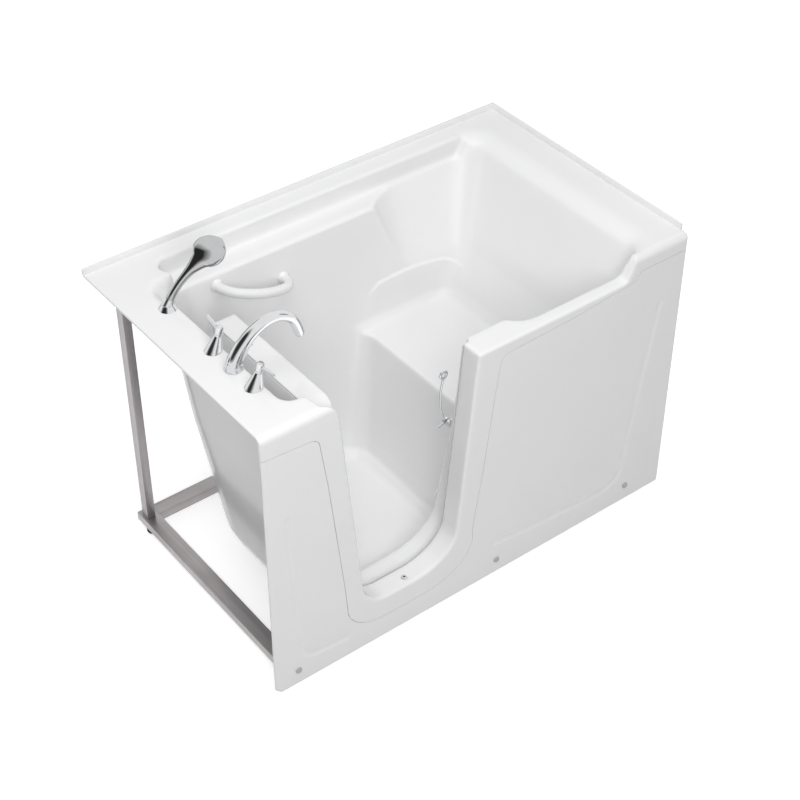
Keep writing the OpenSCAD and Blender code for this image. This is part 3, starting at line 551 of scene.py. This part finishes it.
def panel_outline():
    """The skirt panel's outer rim in the front plane, as one loop of edges."""
    obj = copy_of("front_panel")
    mesh = edit(obj)
    bpy.ops.mesh.select_all(action="DESELECT")
    bpy.ops.mesh.select_mode(type="EDGE")
    for face in mesh.faces:
        face.tag = face.normal.y < -0.99 and abs(face.calc_center_median().y - FRONT) < 0.0003
    for line in mesh.edges:
        flat = [face.tag for face in line.link_faces]
        line.select_set(len(flat) == 2 and flat.count(True) == 1)
    bmesh.update_edit_mesh(obj.data)
    bpy.ops.mesh.duplicate()
    bpy.ops.mesh.separate(type="SELECTED")
    done()
    rims = [o for o in bpy.context.selected_objects if o is not obj]
    bpy.data.objects.remove(obj)
    pick_only(rims[0])
    bpy.ops.object.mode_set(mode="EDIT")
    bpy.ops.mesh.separate(type="LOOSE")
    done()
    loops = sorted(bpy.context.selected_objects, key=lambda o: o.dimensions.x)
    for small in loops[:-1]:
        bpy.data.objects.remove(small)
    return loops[-1]


def seam_cutter(grow, depth):
    """The panel's outline made a block, grown all round, reaching depth behind the front."""
    ahead = 0.02
    obj = panel_outline()
    edit(obj)
    bpy.ops.mesh.select_all(action="SELECT")
    bpy.ops.mesh.edge_face_add()
    bpy.ops.transform.translate(value=(0, -ahead, 0))
    bpy.ops.mesh.extrude_region_move(
        TRANSFORM_OT_translate={"value": (0, ahead + depth - grow, 0)})
    bpy.ops.mesh.select_all(action="SELECT")
    bpy.ops.mesh.normals_make_consistent(inside=False)
    if grow:
        bpy.ops.transform.shrink_fatten(value=grow, use_even_offset=True)
    done()
    return obj


def softness(obj, name, weigh):
    """A vertex group whose weights a function of the place gives."""
    group = obj.vertex_groups.new(name=name)
    for v in obj.data.vertices:
        weight = weigh(v.co)
        if weight > 0:
            group.add([v.index], weight, "REPLACE")
    return group.name


def cut(obj, cutter, operation):
    """Cuts an object by another, which is then removed."""
    modify(obj, "BOOLEAN", object=cutter, operation=operation, solver="MANIFOLD")
    bpy.data.objects.remove(cutter)
    return obj


def thin_out(obj, triangles):
    """Brings a mesh down to a number of triangles."""
    count = sum(len(p.vertices) - 2 for p in obj.data.polygons)
    if count > triangles:
        modify(obj, "DECIMATE", ratio=triangles / count)
    return obj


def eased_step(t):
    """From nought to one with soft ends."""
    t = max(0.0, min(1.0, t))
    return t * t * (3 - 2 * t)


def back_pad(place):
    """Weight of the low pad beside the seat, full just under its arched top edge."""
    along = place.x + 0.277 - place.y
    if not (0.11 < along < 0.56 and place.y > 0.19 and 0.50 < place.z < 0.68):
        return 0.0
    top = 0.670 - 0.66 * (along - 0.25) ** 2 - 0.6 * max(0.0, 0.16 - along)
    below = top - place.z
    ends = eased_step((along - 0.11) / 0.05) * eased_step((0.555 - along) / 0.05)
    return eased_step(below / 0.007) * (1 - eased_step((below - 0.008) / 0.10)) * ends


def near_relief():
    """Weight of the skirt's soft outlines, taken from the distance to the cut grooves."""
    panel = copy_of("front_panel").data
    grooves = [list(face.vertices) for face in panel.polygons
               if face.normal.y < -0.9 and abs(face.center.y - FRONT - GROOVE) < 0.0004]
    tree = BVHTree.FromPolygons([v.co for v in panel.vertices], grooves)
    bpy.data.objects.remove(bpy.context.view_layer.objects.active)

    def weigh(place):
        if place.y > FRONT + 0.005:
            return 0.0
        reach = tree.find_nearest(place, 0.02)[3]
        return 0.0 if reach is None else 1 - eased_step((reach - GROOVE) / 0.008)

    return weigh


def round_brow(obj, radius):
    """Rounds the edge between the deck and the skirt."""
    middle_y, middle_z = FRONT + radius, DECK_TOP - radius
    for v in obj.data.vertices:
        out, up = middle_y - v.co.y, v.co.z - middle_z
        reach = math.hypot(out, up)
        if out > 0 and up > 0 and reach > radius:
            v.co.y = middle_y - out * radius / reach
            v.co.z = middle_z + up * radius / reach


def cast_shell(sizes):
    """Shell and skirt cast together as one soft sheet."""
    shell = trim(copy_of("tub_shell"), (0, 0, DECK_TOP + CUT_GAP), Z)
    skirt = trim(copy_of("front_panel"), (0, FRONT + SKIN + CUT_GAP, 0), Y)
    cast = join([shell, skirt])
    cast.name = "cast"
    modify(cast, "REMESH", mode="VOXEL", voxel_size=sizes.voxel)
    low, high = CAD_BOX

    def inner(place):
        edge = min(place.x - low.x, high.x - place.x, high.y - place.y)
        front = (place.y - FRONT - 0.004) / 0.012
        rim = (place.z - 0.1) / 0.05
        return max(0.0, min(1.0, (edge - 0.02) / 0.03, max(front, 0.35), rim + 0.5))

    group = softness(cast, "soft", inner)
    modify(cast, "SMOOTH", factor=0.5, iterations=sizes.rim_passes)
    modify(cast, "SMOOTH", factor=0.5, iterations=sizes.shell_passes, vertex_group=group)
    pad = softness(cast, "pad", back_pad)
    modify(cast, "DISPLACE", direction="Y", strength=-sizes.pad, mid_level=0, vertex_group=pad)
    relief = softness(cast, "relief", near_relief())
    modify(cast, "DISPLACE", direction="Y", strength=sizes.relief, mid_level=0,
           vertex_group=relief)
    round_brow(cast, sizes.brow)
    cast.vertex_groups.clear()
    return cast


class BATH_OT_shell(bpy.types.Operator):
    """Casts the shell with its skirt, parts them along the seam and adds the tile flange"""

    bl_idname = "bath.shell"
    bl_label = "Shell and skirt"

    def execute(self, context):
        cast = cast_shell(context.scene.bath_sizes)
        skirt = cast.copy()
        skirt.data = cast.data.copy()
        context.scene.collection.objects.link(skirt)
        cut(cast, seam_cutter(SEAM, SKIN), "DIFFERENCE")
        cut(skirt, seam_cutter(0, SKIN - 0.0002), "INTERSECT")
        for sheet, triangles, angle in ((cast, 190000, 60), (skirt, 60000, 50)):
            shade(thin_out(sheet, triangles), angle)
            modify(sheet, "WEIGHTED_NORMAL", mode="FACE_AREA", weight=70, keep_sharp=True)
        dress(cast, "moulded_shell", "base", FINISH["shell"], ["tub_shell"])
        dress(skirt, "skirt_panel", "base", FINISH["shell"], ["front_panel"])
        flange = trim(copy_of("tub_shell"), (0, 0, DECK_TOP + 0.0002), (0, 0, -1))
        mesh = edit(flange)
        for v in mesh.verts:
            v.select_set(v.co.z < DECK_TOP + 0.001)
        bmesh.update_edit_mesh(flange.data)
        bpy.ops.transform.translate(value=(0, 0, -0.0015))
        done()
        modify(flange, "BEVEL", width=0.0018, segments=3, limit_method="ANGLE")
        shade(flange)
        dress(flange, "tile_flange", "base", FINISH["shell"])
        return {"FINISHED"}


class BATH_OT_door(bpy.types.Operator):
    """Makes the door with its back plate, seal, catch and hinges"""

    bl_idname = "bath.door"
    bl_label = "Door"

    def execute(self, context):
        door = copy_of("door_shell")
        modify(door, "REMESH", mode="VOXEL", voxel_size=context.scene.bath_sizes.voxel * 0.8)
        modify(door, "SMOOTH", factor=0.5, iterations=10)
        shade(thin_out(door, 90000), 50)
        dress(door, "door_slab", "door", FINISH["door"], ["door_shell"])
        softened("door_back", "door_back_plate", "door", FINISH["door"], 0.0015)
        softened("door_catch", "door_top_catch", "door", FINISH["chrome"], 0.0010)
        softened("rod_keeper", "door_rod_keeper", "door", FINISH["chrome"], 0.0012)
        softened("hinge_brackets", "hinge_blocks", "base", FINISH["stainless"])
        plated("hinge_pins", FINISH["stainless"])
        softened("door_seal", "door_gasket", "base", FINISH["seal"], 0.0014)
        return {"FINISHED"}


# Frame and feet


class BATH_OT_frame(bpy.types.Operator):
    """Dresses the base frame, its posts, bearers and props"""

    bl_idname = "bath.frame"
    bl_label = "Base frame"

    def execute(self, context):
        edge = context.scene.bath_sizes.edge
        for node, name, finish, slot in (
                ("end_rails", "end_rail_tubes", "frame_y", "brushed_frame"),
                ("long_rails", "long_rail_tubes", "frame_x", "brushed_frame"),
                ("cross_bars", "cross_bar_tubes", "frame_y", "brushed_frame"),
                ("frame_posts", "post_tubes", "frame_z", "brushed_frame"),
                ("seat_props", "seat_prop_tubes", "frame_z", "brushed_frame"),
                ("floor_bearers", "bearer_boards", "board", "bearer_board")):
            softened(node, name, "base", FINISH[finish], edge * 1.6, 3)
        return {"FINISHED"}


class BATH_OT_feet(bpy.types.Operator):
    """Turns the four rubber feet and dresses their studs and nuts"""

    bl_idname = "bath.feet"
    bl_label = "Feet"

    def execute(self, context):
        low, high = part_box("foot_pads")
        radius = 0.021
        profile = [(0.86, 0), (0.97, 0.0006), (1, 0.002), (1, 0.0045), (0.95, 0.0052), (0.95, 0.006),
                   (0.99, 0.0066), (0.99, 0.0078), (0.90, 0.0098), (0.72, 0.0118), (0.66, 0.012),
                   (0.40, 0.0119), (0.26, 0.0116)]
        pads = []
        for x in (low.x + radius, high.x - radius):
            for y in (low.y + radius, high.y - radius):
                pad = turned([(share * radius, height) for share, height in profile], 40)
                pads.append(put(pad, Matrix.Translation((x, y, low.z))))
        feet = shade(join(pads), 40)
        dress(feet, "rubber_feet", "base", FINISH["rubber"], ["foot_pads"])
        plated("foot_studs", FINISH["zinc"])
        softened("foot_nuts", "lock_nuts", "base", FINISH["zinc"], 0.0008)
        return {"FINISHED"}


def loose_centres(mesh):
    """Centres of a mesh's separate solids, from left to right."""
    work = bmesh.new()
    work.from_mesh(mesh)
    bmesh.ops.remove_doubles(work, verts=work.verts, dist=MERGE)
    centres = []
    left = set(work.verts)
    while left:
        island = [left.pop()]
        for v in island:
            for line in v.link_edges:
                other = line.other_vert(v)
                if other in left:
                    left.remove(other)
                    island.append(other)
        low = Vector(min(v.co[i] for v in island) for i in range(3))
        high = Vector(max(v.co[i] for v in island) for i in range(3))
        centres.append((low + high) / 2)
    work.free()
    return sorted(centres, key=lambda c: c.x)


class BATH_OT_fixings(bpy.types.Operator):
    """Turns the domed caps of the panel's screws"""

    bl_idname = "bath.fixings"
    bl_label = "Panel screws"

    def execute(self, context):
        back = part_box("screw_caps")[1].y
        profile = [(0.0106, 0.0002), (0.0109, 0.0010), (0.0105, 0.0030), (0.0095, 0.0045),
                   (0.0074, 0.0053), (0.0040, 0.0054), (0.0036, 0.0046), (0.0014, 0.0045)]
        caps = []
        forward = Matrix.Rotation(math.radians(90), 4, "X")
        for centre in loose_centres(NODES["screw_caps"].data):
            place = Matrix.Translation((centre.x, back, centre.z))
            caps.append(put(turned(profile, 40), place @ forward))
        dress(shade(join(caps), 30), "domed_caps", "base", FINISH["cap"], ["screw_caps"])
        plated("panel_screws", FINISH["zinc"])
        return {"FINISHED"}


# Latch and grab bar


class BATH_OT_latch(bpy.types.Operator):
    """Dresses the latch's bracket and its rod with the ring"""

    bl_idname = "bath.latch"
    bl_label = "Latch"

    def execute(self, context):
        softened("latch_bracket", "latch_mount", "base", FINISH["chrome"], 0.0014)
        softened("latch_lever", "latch_rod", "latch", FINISH["chrome"], 0.0006)
        return {"FINISHED"}


class BATH_OT_grab_bar(bpy.types.Operator):
    """Makes the bowed white grab bar and its two feet"""

    bl_idname = "bath.grab_bar"
    bl_label = "Grab bar"

    def execute(self, context):
        bar = copy_of("grab_bar")
        modify(bar, "REMESH", mode="VOXEL", voxel_size=0.0022)
        modify(bar, "SMOOTH", factor=0.5, iterations=14)
        shade(thin_out(bar, 24000), 60)
        dress(bar, "bowed_grab_bar", "base", FINISH["door"], ["grab_bar"])
        return {"FINISHED"}


# Taps and hand shower


def keep_below(obj, top, band):
    """Draws what stands above a height down into the band under it."""
    highest = max(v.co.z for v in obj.data.vertices)
    shrink = band / (band + max(0.0, highest - top))
    for v in obj.data.vertices:
        over = v.co.z - (top - band)
        if over > 0:
            v.co.z = top - band + over * shrink
    return obj


class BATH_OT_spout(bpy.types.Operator):
    """Draws the arched spout along its curve, with its outlet recessed"""

    bl_idname = "bath.spout"
    bl_label = "Spout"

    def execute(self, context):
        y = middle("spout").y
        path = [(-0.652, y, 1.0012, 0.0250), (-0.6485, y, 1.0130, 0.0238), (-0.6425, y, 1.0270, 0.0224),
                (-0.620, y, 1.0585, 0.0202), (-0.585, y, 1.0885, 0.0179), (-0.541, y, 1.1045, 0.0159),
                (-0.496, y, 1.1012, 0.0146), (-0.4555, y, 1.0715, 0.0143), (-0.4352, y, 1.0158, 0.0142)]
        rows = tube(eased(path, 7), Y)
        tip, axis, across, wide, deep = rows[-1]
        tip, axis = Vector(tip), Vector(axis).normalized()
        rows[0] = (rows[0][0], Z, across, wide * 1.88, deep * 1.88)
        for move, share in ((0.0008, 0.97), (0.0009, 0.86), (-0.0030, 0.80), (-0.0034, 0.10)):
            rows.append((tip + axis * move, axis, across, wide * share, deep * share))
        spout = shade(loft(rows, 40), 40)
        dress(spout, "arched_spout", "base", FINISH["chrome"], ["spout"])
        softened("spout_base", "spout_shank", "base", FINISH["chrome"], 0.0010)
        plated("spout_aerator", FINISH["stainless"])
        return {"FINISHED"}


class BATH_OT_taps(bpy.types.Operator):
    """Dresses the two handles and their flared bases"""

    bl_idname = "bath.taps"
    bl_label = "Taps"

    def execute(self, context):
        for side, body in (("hot", "hot_tap"), ("cold", "cold_tap")):
            softened("tap_base_" + side, side + "_tap_base", "base", FINISH["chrome"],
                     0.0015, 3)
            softened("tap_lever_" + side, side + "_tap_lever", body, FINISH["chrome"],
                     0.0015, 3)
        return {"FINISHED"}


class BATH_OT_hand_shower(bpy.types.Operator):
    """Draws the hand shower from its handle to its rounded head"""

    bl_idname = "bath.hand_shower"
    bl_label = "Hand shower"

    def execute(self, context):
        away = Vector((0.4497, 0.5798, -0.6794))
        along = Vector((0.843, -0.026, 0.537))
        across = away.cross(along)
        face = Vector((-0.503, 0.168, 1.130))
        neck, neck_axis = (-0.640, 0.168, 1.031), (0.545, 0, 0.839)
        rim = turned([
            (0.003, -0.0050), (0.0425, -0.0070), (0.0447, -0.0045), (0.0456, -0.0010),
            (0.0460, 0.0030), (0.0456, 0.0062), (0.0440, 0.0078), (0.0405, 0.0082),
            (0.0384, 0.0078), (0.0380, 0.0050), (0.003, 0.0050)], 96)
        rows = [(-0.6465, 0.168, 1.0160, 0.0098, 0.0098), (-0.6370, 0.168, 1.0310, 0.0112, 0.0110),
                (-0.6225, 0.168, 1.0485, 0.0114, 0.0112), (-0.6070, 0.168, 1.0640, 0.0118, 0.0114),
                (-0.5895, 0.1675, 1.0790, 0.0128, 0.0117), (-0.5720, 0.1665, 1.0925, 0.0152, 0.0121),
                (-0.5560, 0.165, 1.1042, 0.0205, 0.0127)]
        for ahead, half, deep in (
                (-0.040, 0.0275, 0.0134), (-0.030, 0.0358, 0.0142), (-0.018, 0.0428, 0.0149),
                (-0.004, 0.0458, 0.0152), (0.010, 0.0449, 0.0148), (0.022, 0.0404, 0.0136),
                (0.032, 0.0330, 0.0117), (0.039, 0.0244, 0.0093), (0.0435, 0.0150, 0.0066),
                (0.0455, 0.0068, 0.0040), (0.0460, 0.0010, 0.0012)):
            place = face + along * ahead - away * (deep - 0.004)
            rows.append((*place, half, deep))
        rows = eased(rows, 6)
        stations = []
        for i, row in enumerate(rows):
            ahead = Vector(rows[min(i + 1, len(rows) - 1)][:3]) - Vector(rows[max(i - 1, 0)][:3])
            stations.append((row[:3], ahead, across, max(row[3], THINNEST), max(row[4], THINNEST)))
        turn = Matrix((along, across, away)).transposed().to_4x4()
        collar = trim(copy_of("hand_shower"), neck, neck_axis)
        shower = join([put(rim, Matrix.Translation(face) @ turn), loft(stations, 56), collar])
        shade(keep_below(shower, CAD_BOX[1].z, HEAD_TOP), 40)
        dress(shower, "hand_shower_body", "shower_head", FINISH["shower"], ["hand_shower"])
        softened("shower_cradle", "deck_cradle", "base", FINISH["chrome"], 0.0012)
        softened("spray_face", "spray_disc", "shower_head", FINISH["spray"], 0.0006)
        return {"FINISHED"}


# Pipes, jets and pump


class BATH_OT_supply(bpy.types.Operator):
    """Dresses the valves, nuts, mixing pipe and shower tail under the deck"""

    bl_idname = "bath.supply"
    bl_label = "Supply"

    def execute(self, context):
        softened("valve_bodies", "tap_valves", "base", FINISH["brass"], 0.0012)
        softened("deck_nuts", "under_deck_nuts", "base", FINISH["brass"], 0.0010)
        plated("mixing_pipe", FINISH["brass"])
        plated("shower_tail", FINISH["braid"])
        return {"FINISHED"}


class BATH_OT_waste(bpy.types.Operator):
    """Dresses the drain, its stopper, the overflow and the waste pipe"""

    bl_idname = "bath.waste"
    bl_label = "Waste"

    def execute(self, context):
        chrome = FINISH["chrome"]
        softened("drain_flange", "drain_ring", "base", chrome, 0.0008)
        softened("drain_stopper", "stopper_disc", "stopper", chrome, 0.0014, 3)
        softened("overflow_plate", "overflow_cover", "base", chrome, 0.0008)
        softened("overflow_knob", "overflow_grip", "overflow_control", chrome, 0.0010)
        softened("sill_drain", "sill_weep", "base", chrome, 0.0005)
        softened("drain_body", "drain_housing", "base", FINISH["black_pipe"], 0.0010)
        plated("waste_pipe", FINISH["pipe"])
        return {"FINISHED"}


class BATH_OT_jets(bpy.types.Operator):
    """Dresses the jets, their pipes and the suction side"""

    bl_idname = "bath.jets"
    bl_label = "Jets"

    def execute(self, context):
        softened("jet_rings", "jet_bezels", "base", FINISH["chrome"], 0.0010, 3)
        for number in range(1, 5):
            softened(f"jet_nozzle_{number}", f"jet_eye_{number}", f"jet_{number}", FINISH["chrome"],
                     0.0006)
        for node in ("jet_cups", "jet_manifold", "pressure_pipe", "suction_pipe"):
            plated(node, FINISH["pipe"])
        softened("suction_grille", "suction_cover", "base", FINISH["door"], 0.0006)
        return {"FINISHED"}


class BATH_OT_pump(bpy.types.Operator):
    """Dresses the pump, its motor and tray"""

    bl_idname = "bath.pump"
    bl_label = "Pump"

    def execute(self, context):
        softened("pump_volute", "pump_casing", "base", FINISH["black_pipe"], 0.003, 3)
        softened("pump_motor", "pump_motor_case", "base", FINISH["motor"], 0.0012)
        softened("pump_tray", "pump_shelf", "base", FINISH["zinc"], 0.0010)
        return {"FINISHED"}


class BATH_OT_controls(bpy.types.Operator):
    """Dresses the air knob and the pump button"""

    bl_idname = "bath.controls"
    bl_label = "Controls"

    def execute(self, context):
        softened("air_knob", "air_dial", "air_control", FINISH["chrome"], 0.0012, 3)
        softened("pump_button", "push_button", "pump_switch", FINISH["chrome"], 0.0012, 3)
        return {"FINISHED"}


# Stage


def seen(tree):
    """One for camera, glossy and transmission rays, nought for the rays that light the bath."""
    path = tree.nodes.new("ShaderNodeLightPath")
    value = path.outputs["Is Camera Ray"]
    for ray in ("Is Glossy Ray", "Is Transmission Ray"):
        either = tree.nodes.new("ShaderNodeMath")
        either.operation = "MAXIMUM"
        tree.links.new(value, either.inputs[0])
        tree.links.new(path.outputs[ray], either.inputs[1])
        value = either.outputs[0]
    return value


def by_ray(tree, lighting, shown, output):
    """Lets lighting rays meet one shader and all seen ones another."""
    mix = tree.nodes.new("ShaderNodeMixShader")
    tree.links.new(seen(tree), mix.inputs[0])
    tree.links.new(lighting.outputs[0], mix.inputs[1])
    tree.links.new(shown.outputs[0], mix.inputs[2])
    tree.links.new(mix.outputs[0], output.inputs["Surface"])


def make_world(ambient):
    """A sky of soft light that shows as plain white."""
    world = bpy.data.worlds.new("studio")
    bpy.context.scene.world = world
    world.use_nodes = True
    tree = world.node_tree
    tree.nodes.clear()
    output = tree.nodes.new("ShaderNodeOutputWorld")
    skies = []
    for strength in (ambient, 1.0):
        sky = tree.nodes.new("ShaderNodeBackground")
        sky.inputs["Color"].default_value = (1, 1, 1, 1)
        sky.inputs["Strength"].default_value = strength
        skies.append(sky)
    by_ray(tree, *skies, output)


def floor_finish():
    """Pale floor that shows near white, keeps the shadow and throws little light back."""
    material, tree, shader = blank("studio_floor")
    output = tree.nodes["Material Output"]
    shader.inputs["Base Color"].default_value = (0.80, 0.80, 0.80, 1)
    shader.inputs["Roughness"].default_value = 0.9
    dim = tree.nodes.new("ShaderNodeBsdfDiffuse")
    dim.inputs["Color"].default_value = (0.40, 0.40, 0.40, 1)
    glow = tree.nodes.new("ShaderNodeEmission")
    glow.inputs["Strength"].default_value = 0.60
    both = tree.nodes.new("ShaderNodeAddShader")
    tree.links.new(shader.outputs[0], both.inputs[0])
    tree.links.new(glow.outputs[0], both.inputs[1])
    by_ray(tree, dim, both, output)
    return material


def add_lamp(name, place, aim, size, power):
    """A soft lamp that reflections don't see."""
    data = bpy.data.lights.new(name, "AREA")
    data.shape = "RECTANGLE"
    data.size, data.size_y = size
    data.energy = power
    lamp = bpy.data.objects.new(name, data)
    bpy.context.scene.collection.objects.link(lamp)
    lamp.location = place
    lamp.visible_glossy = False
    lamp.rotation_mode = "QUATERNION"
    lamp.rotation_quaternion = (Vector(aim) - Vector(place)).to_track_quat("-Z", "Y")


def add_card(name, place, aim, size, grey, margin=0.02):
    """A card that only reflections see, dark in its middle and fading to white in its margin."""
    bpy.ops.object.select_all(action="DESELECT")
    bpy.ops.mesh.primitive_plane_add(size=1)
    card = bpy.context.object
    card.name = name
    card.scale = (*size, 1)
    card.location = place
    card.rotation_mode = "QUATERNION"
    card.rotation_quaternion = (Vector(aim) - Vector(place)).to_track_quat("Z", "Y")
    material, tree, _ = blank(name)
    tree.nodes.clear()
    output = tree.nodes.new("ShaderNodeOutputMaterial")
    glow = tree.nodes.new("ShaderNodeEmission")
    fade = pattern(tree, "ShaderNodeTexGradient", (2, 2, 2))
    fade.node.gradient_type = "SPHERICAL"
    tree.links.new(spread(tree, fade, 1, grey, 0, margin), glow.inputs["Color"])
    tree.links.new(glow.outputs[0], output.inputs["Surface"])
    card.data.materials.append(material)
    card.visible_camera = False
    card.visible_diffuse = False
    card.visible_shadow = False
    card.visible_transmission = False


class BATH_OT_stage(bpy.types.Operator):
    """Sets the camera, the pale floor, the soft lamps and the cards that the chrome reflects"""

    bl_idname = "bath.stage"
    bl_label = "Stage"

    def execute(self, context):
        stage = context.scene.bath_stage
        make_world(0.42)
        bpy.ops.object.select_all(action="DESELECT")
        bpy.ops.mesh.primitive_plane_add(size=60)
        floor = bpy.context.object
        floor.name = "studio_floor"
        floor.data.materials.append(floor_finish())
        add_lamp("overhead", (-0.6, -0.5, 4.2), (0, 0, 0.5), (2.6, 2.6), 54)
        add_lamp("front", (-1.9, -3.8, 3.5), (0, 0, 0.6), (2.2, 2.2), 105)
        add_card("card_left", (-3.0, 1.4, 1.15), (-0.6, 0, 1.05), (1.1, 1.1), 0.03, 0.3)
        add_card("card_high", (-2.75, 0.0, 2.7), (-0.5, 0.17, 1.13), (5.6, 4.2), 0.035, 0.55)
        add_card("card_front", (-0.6, -3.2, 0.5), (-0.6, 0, 1.0), (2.6, 0.9), 0.05)
        add_card("card_right", (2.4, -1.4, 2.6), (-0.6, 0, 1.0), (0.8, 1.8), 0.04)
        add_card("card_back", (-0.9, 3.0, 1.9), (-0.6, 0, 1.0), (2.4, 0.9), 0.06)
        azimuth, elevation = stage.azimuth, stage.elevation
        back = Vector((math.sin(azimuth) * math.cos(elevation),
                       -math.cos(azimuth) * math.cos(elevation), math.sin(elevation)))
        right = Vector((math.cos(azimuth), math.sin(azimuth), 0))
        turn = Matrix((right, back.cross(right), back)).transposed()
        data = bpy.data.cameras.new("camera")
        data.lens = stage.lens
        data.sensor_width = 36
        camera = bpy.data.objects.new("camera", data)
        context.scene.collection.objects.link(camera)
        camera.matrix_world = (Matrix.Translation(stage.eye) @ turn.to_4x4()
                               @ Matrix.Rotation(stage.roll, 4, "Z"))
        context.scene.camera = camera
        context.scene.view_settings.view_transform = "Standard"
        return {"FINISHED"}


STEPS = (
    BATH_OT_shell, BATH_OT_door, BATH_OT_frame, BATH_OT_feet, BATH_OT_fixings, BATH_OT_latch,
    BATH_OT_grab_bar, BATH_OT_spout, BATH_OT_taps, BATH_OT_hand_shower, BATH_OT_supply,
    BATH_OT_waste, BATH_OT_jets, BATH_OT_pump, BATH_OT_controls, BATH_OT_stage)


class BATH_PT_panel(bpy.types.Panel):
    bl_label = "Walk-in bath"
    bl_space_type = "VIEW_3D"
    bl_region_type = "UI"
    bl_category = "Bath"

    def draw(self, context):
        for group in (context.scene.bath_sizes, context.scene.bath_colours, context.scene.bath_stage):
            for name in group.__annotations__:
                self.layout.prop(group, name)
        for step in STEPS:
            self.layout.operator(step.bl_idname)


CLASSES = (BathSizes, BathColours, StageSettings, *STEPS, BATH_PT_panel)


def register():
    for entry in CLASSES:
        bpy.utils.register_class(entry)
    bpy.types.Scene.bath_sizes = bpy.props.PointerProperty(type=BathSizes)
    bpy.types.Scene.bath_colours = bpy.props.PointerProperty(type=BathColours)
    bpy.types.Scene.bath_stage = bpy.props.PointerProperty(type=StageSettings)


def unregister():
    del bpy.types.Scene.bath_stage
    del bpy.types.Scene.bath_colours
    del bpy.types.Scene.bath_sizes
    for entry in reversed(CLASSES):
        bpy.utils.unregister_class(entry)


def main():
    register()
    scene = bpy.context.scene
    make_finishes(scene.bath_colours)
    for step in STEPS:
        group, action = step.bl_idname.split(".")
        getattr(getattr(bpy.ops, group), action)()


if __name__ == "__main__":
    main()
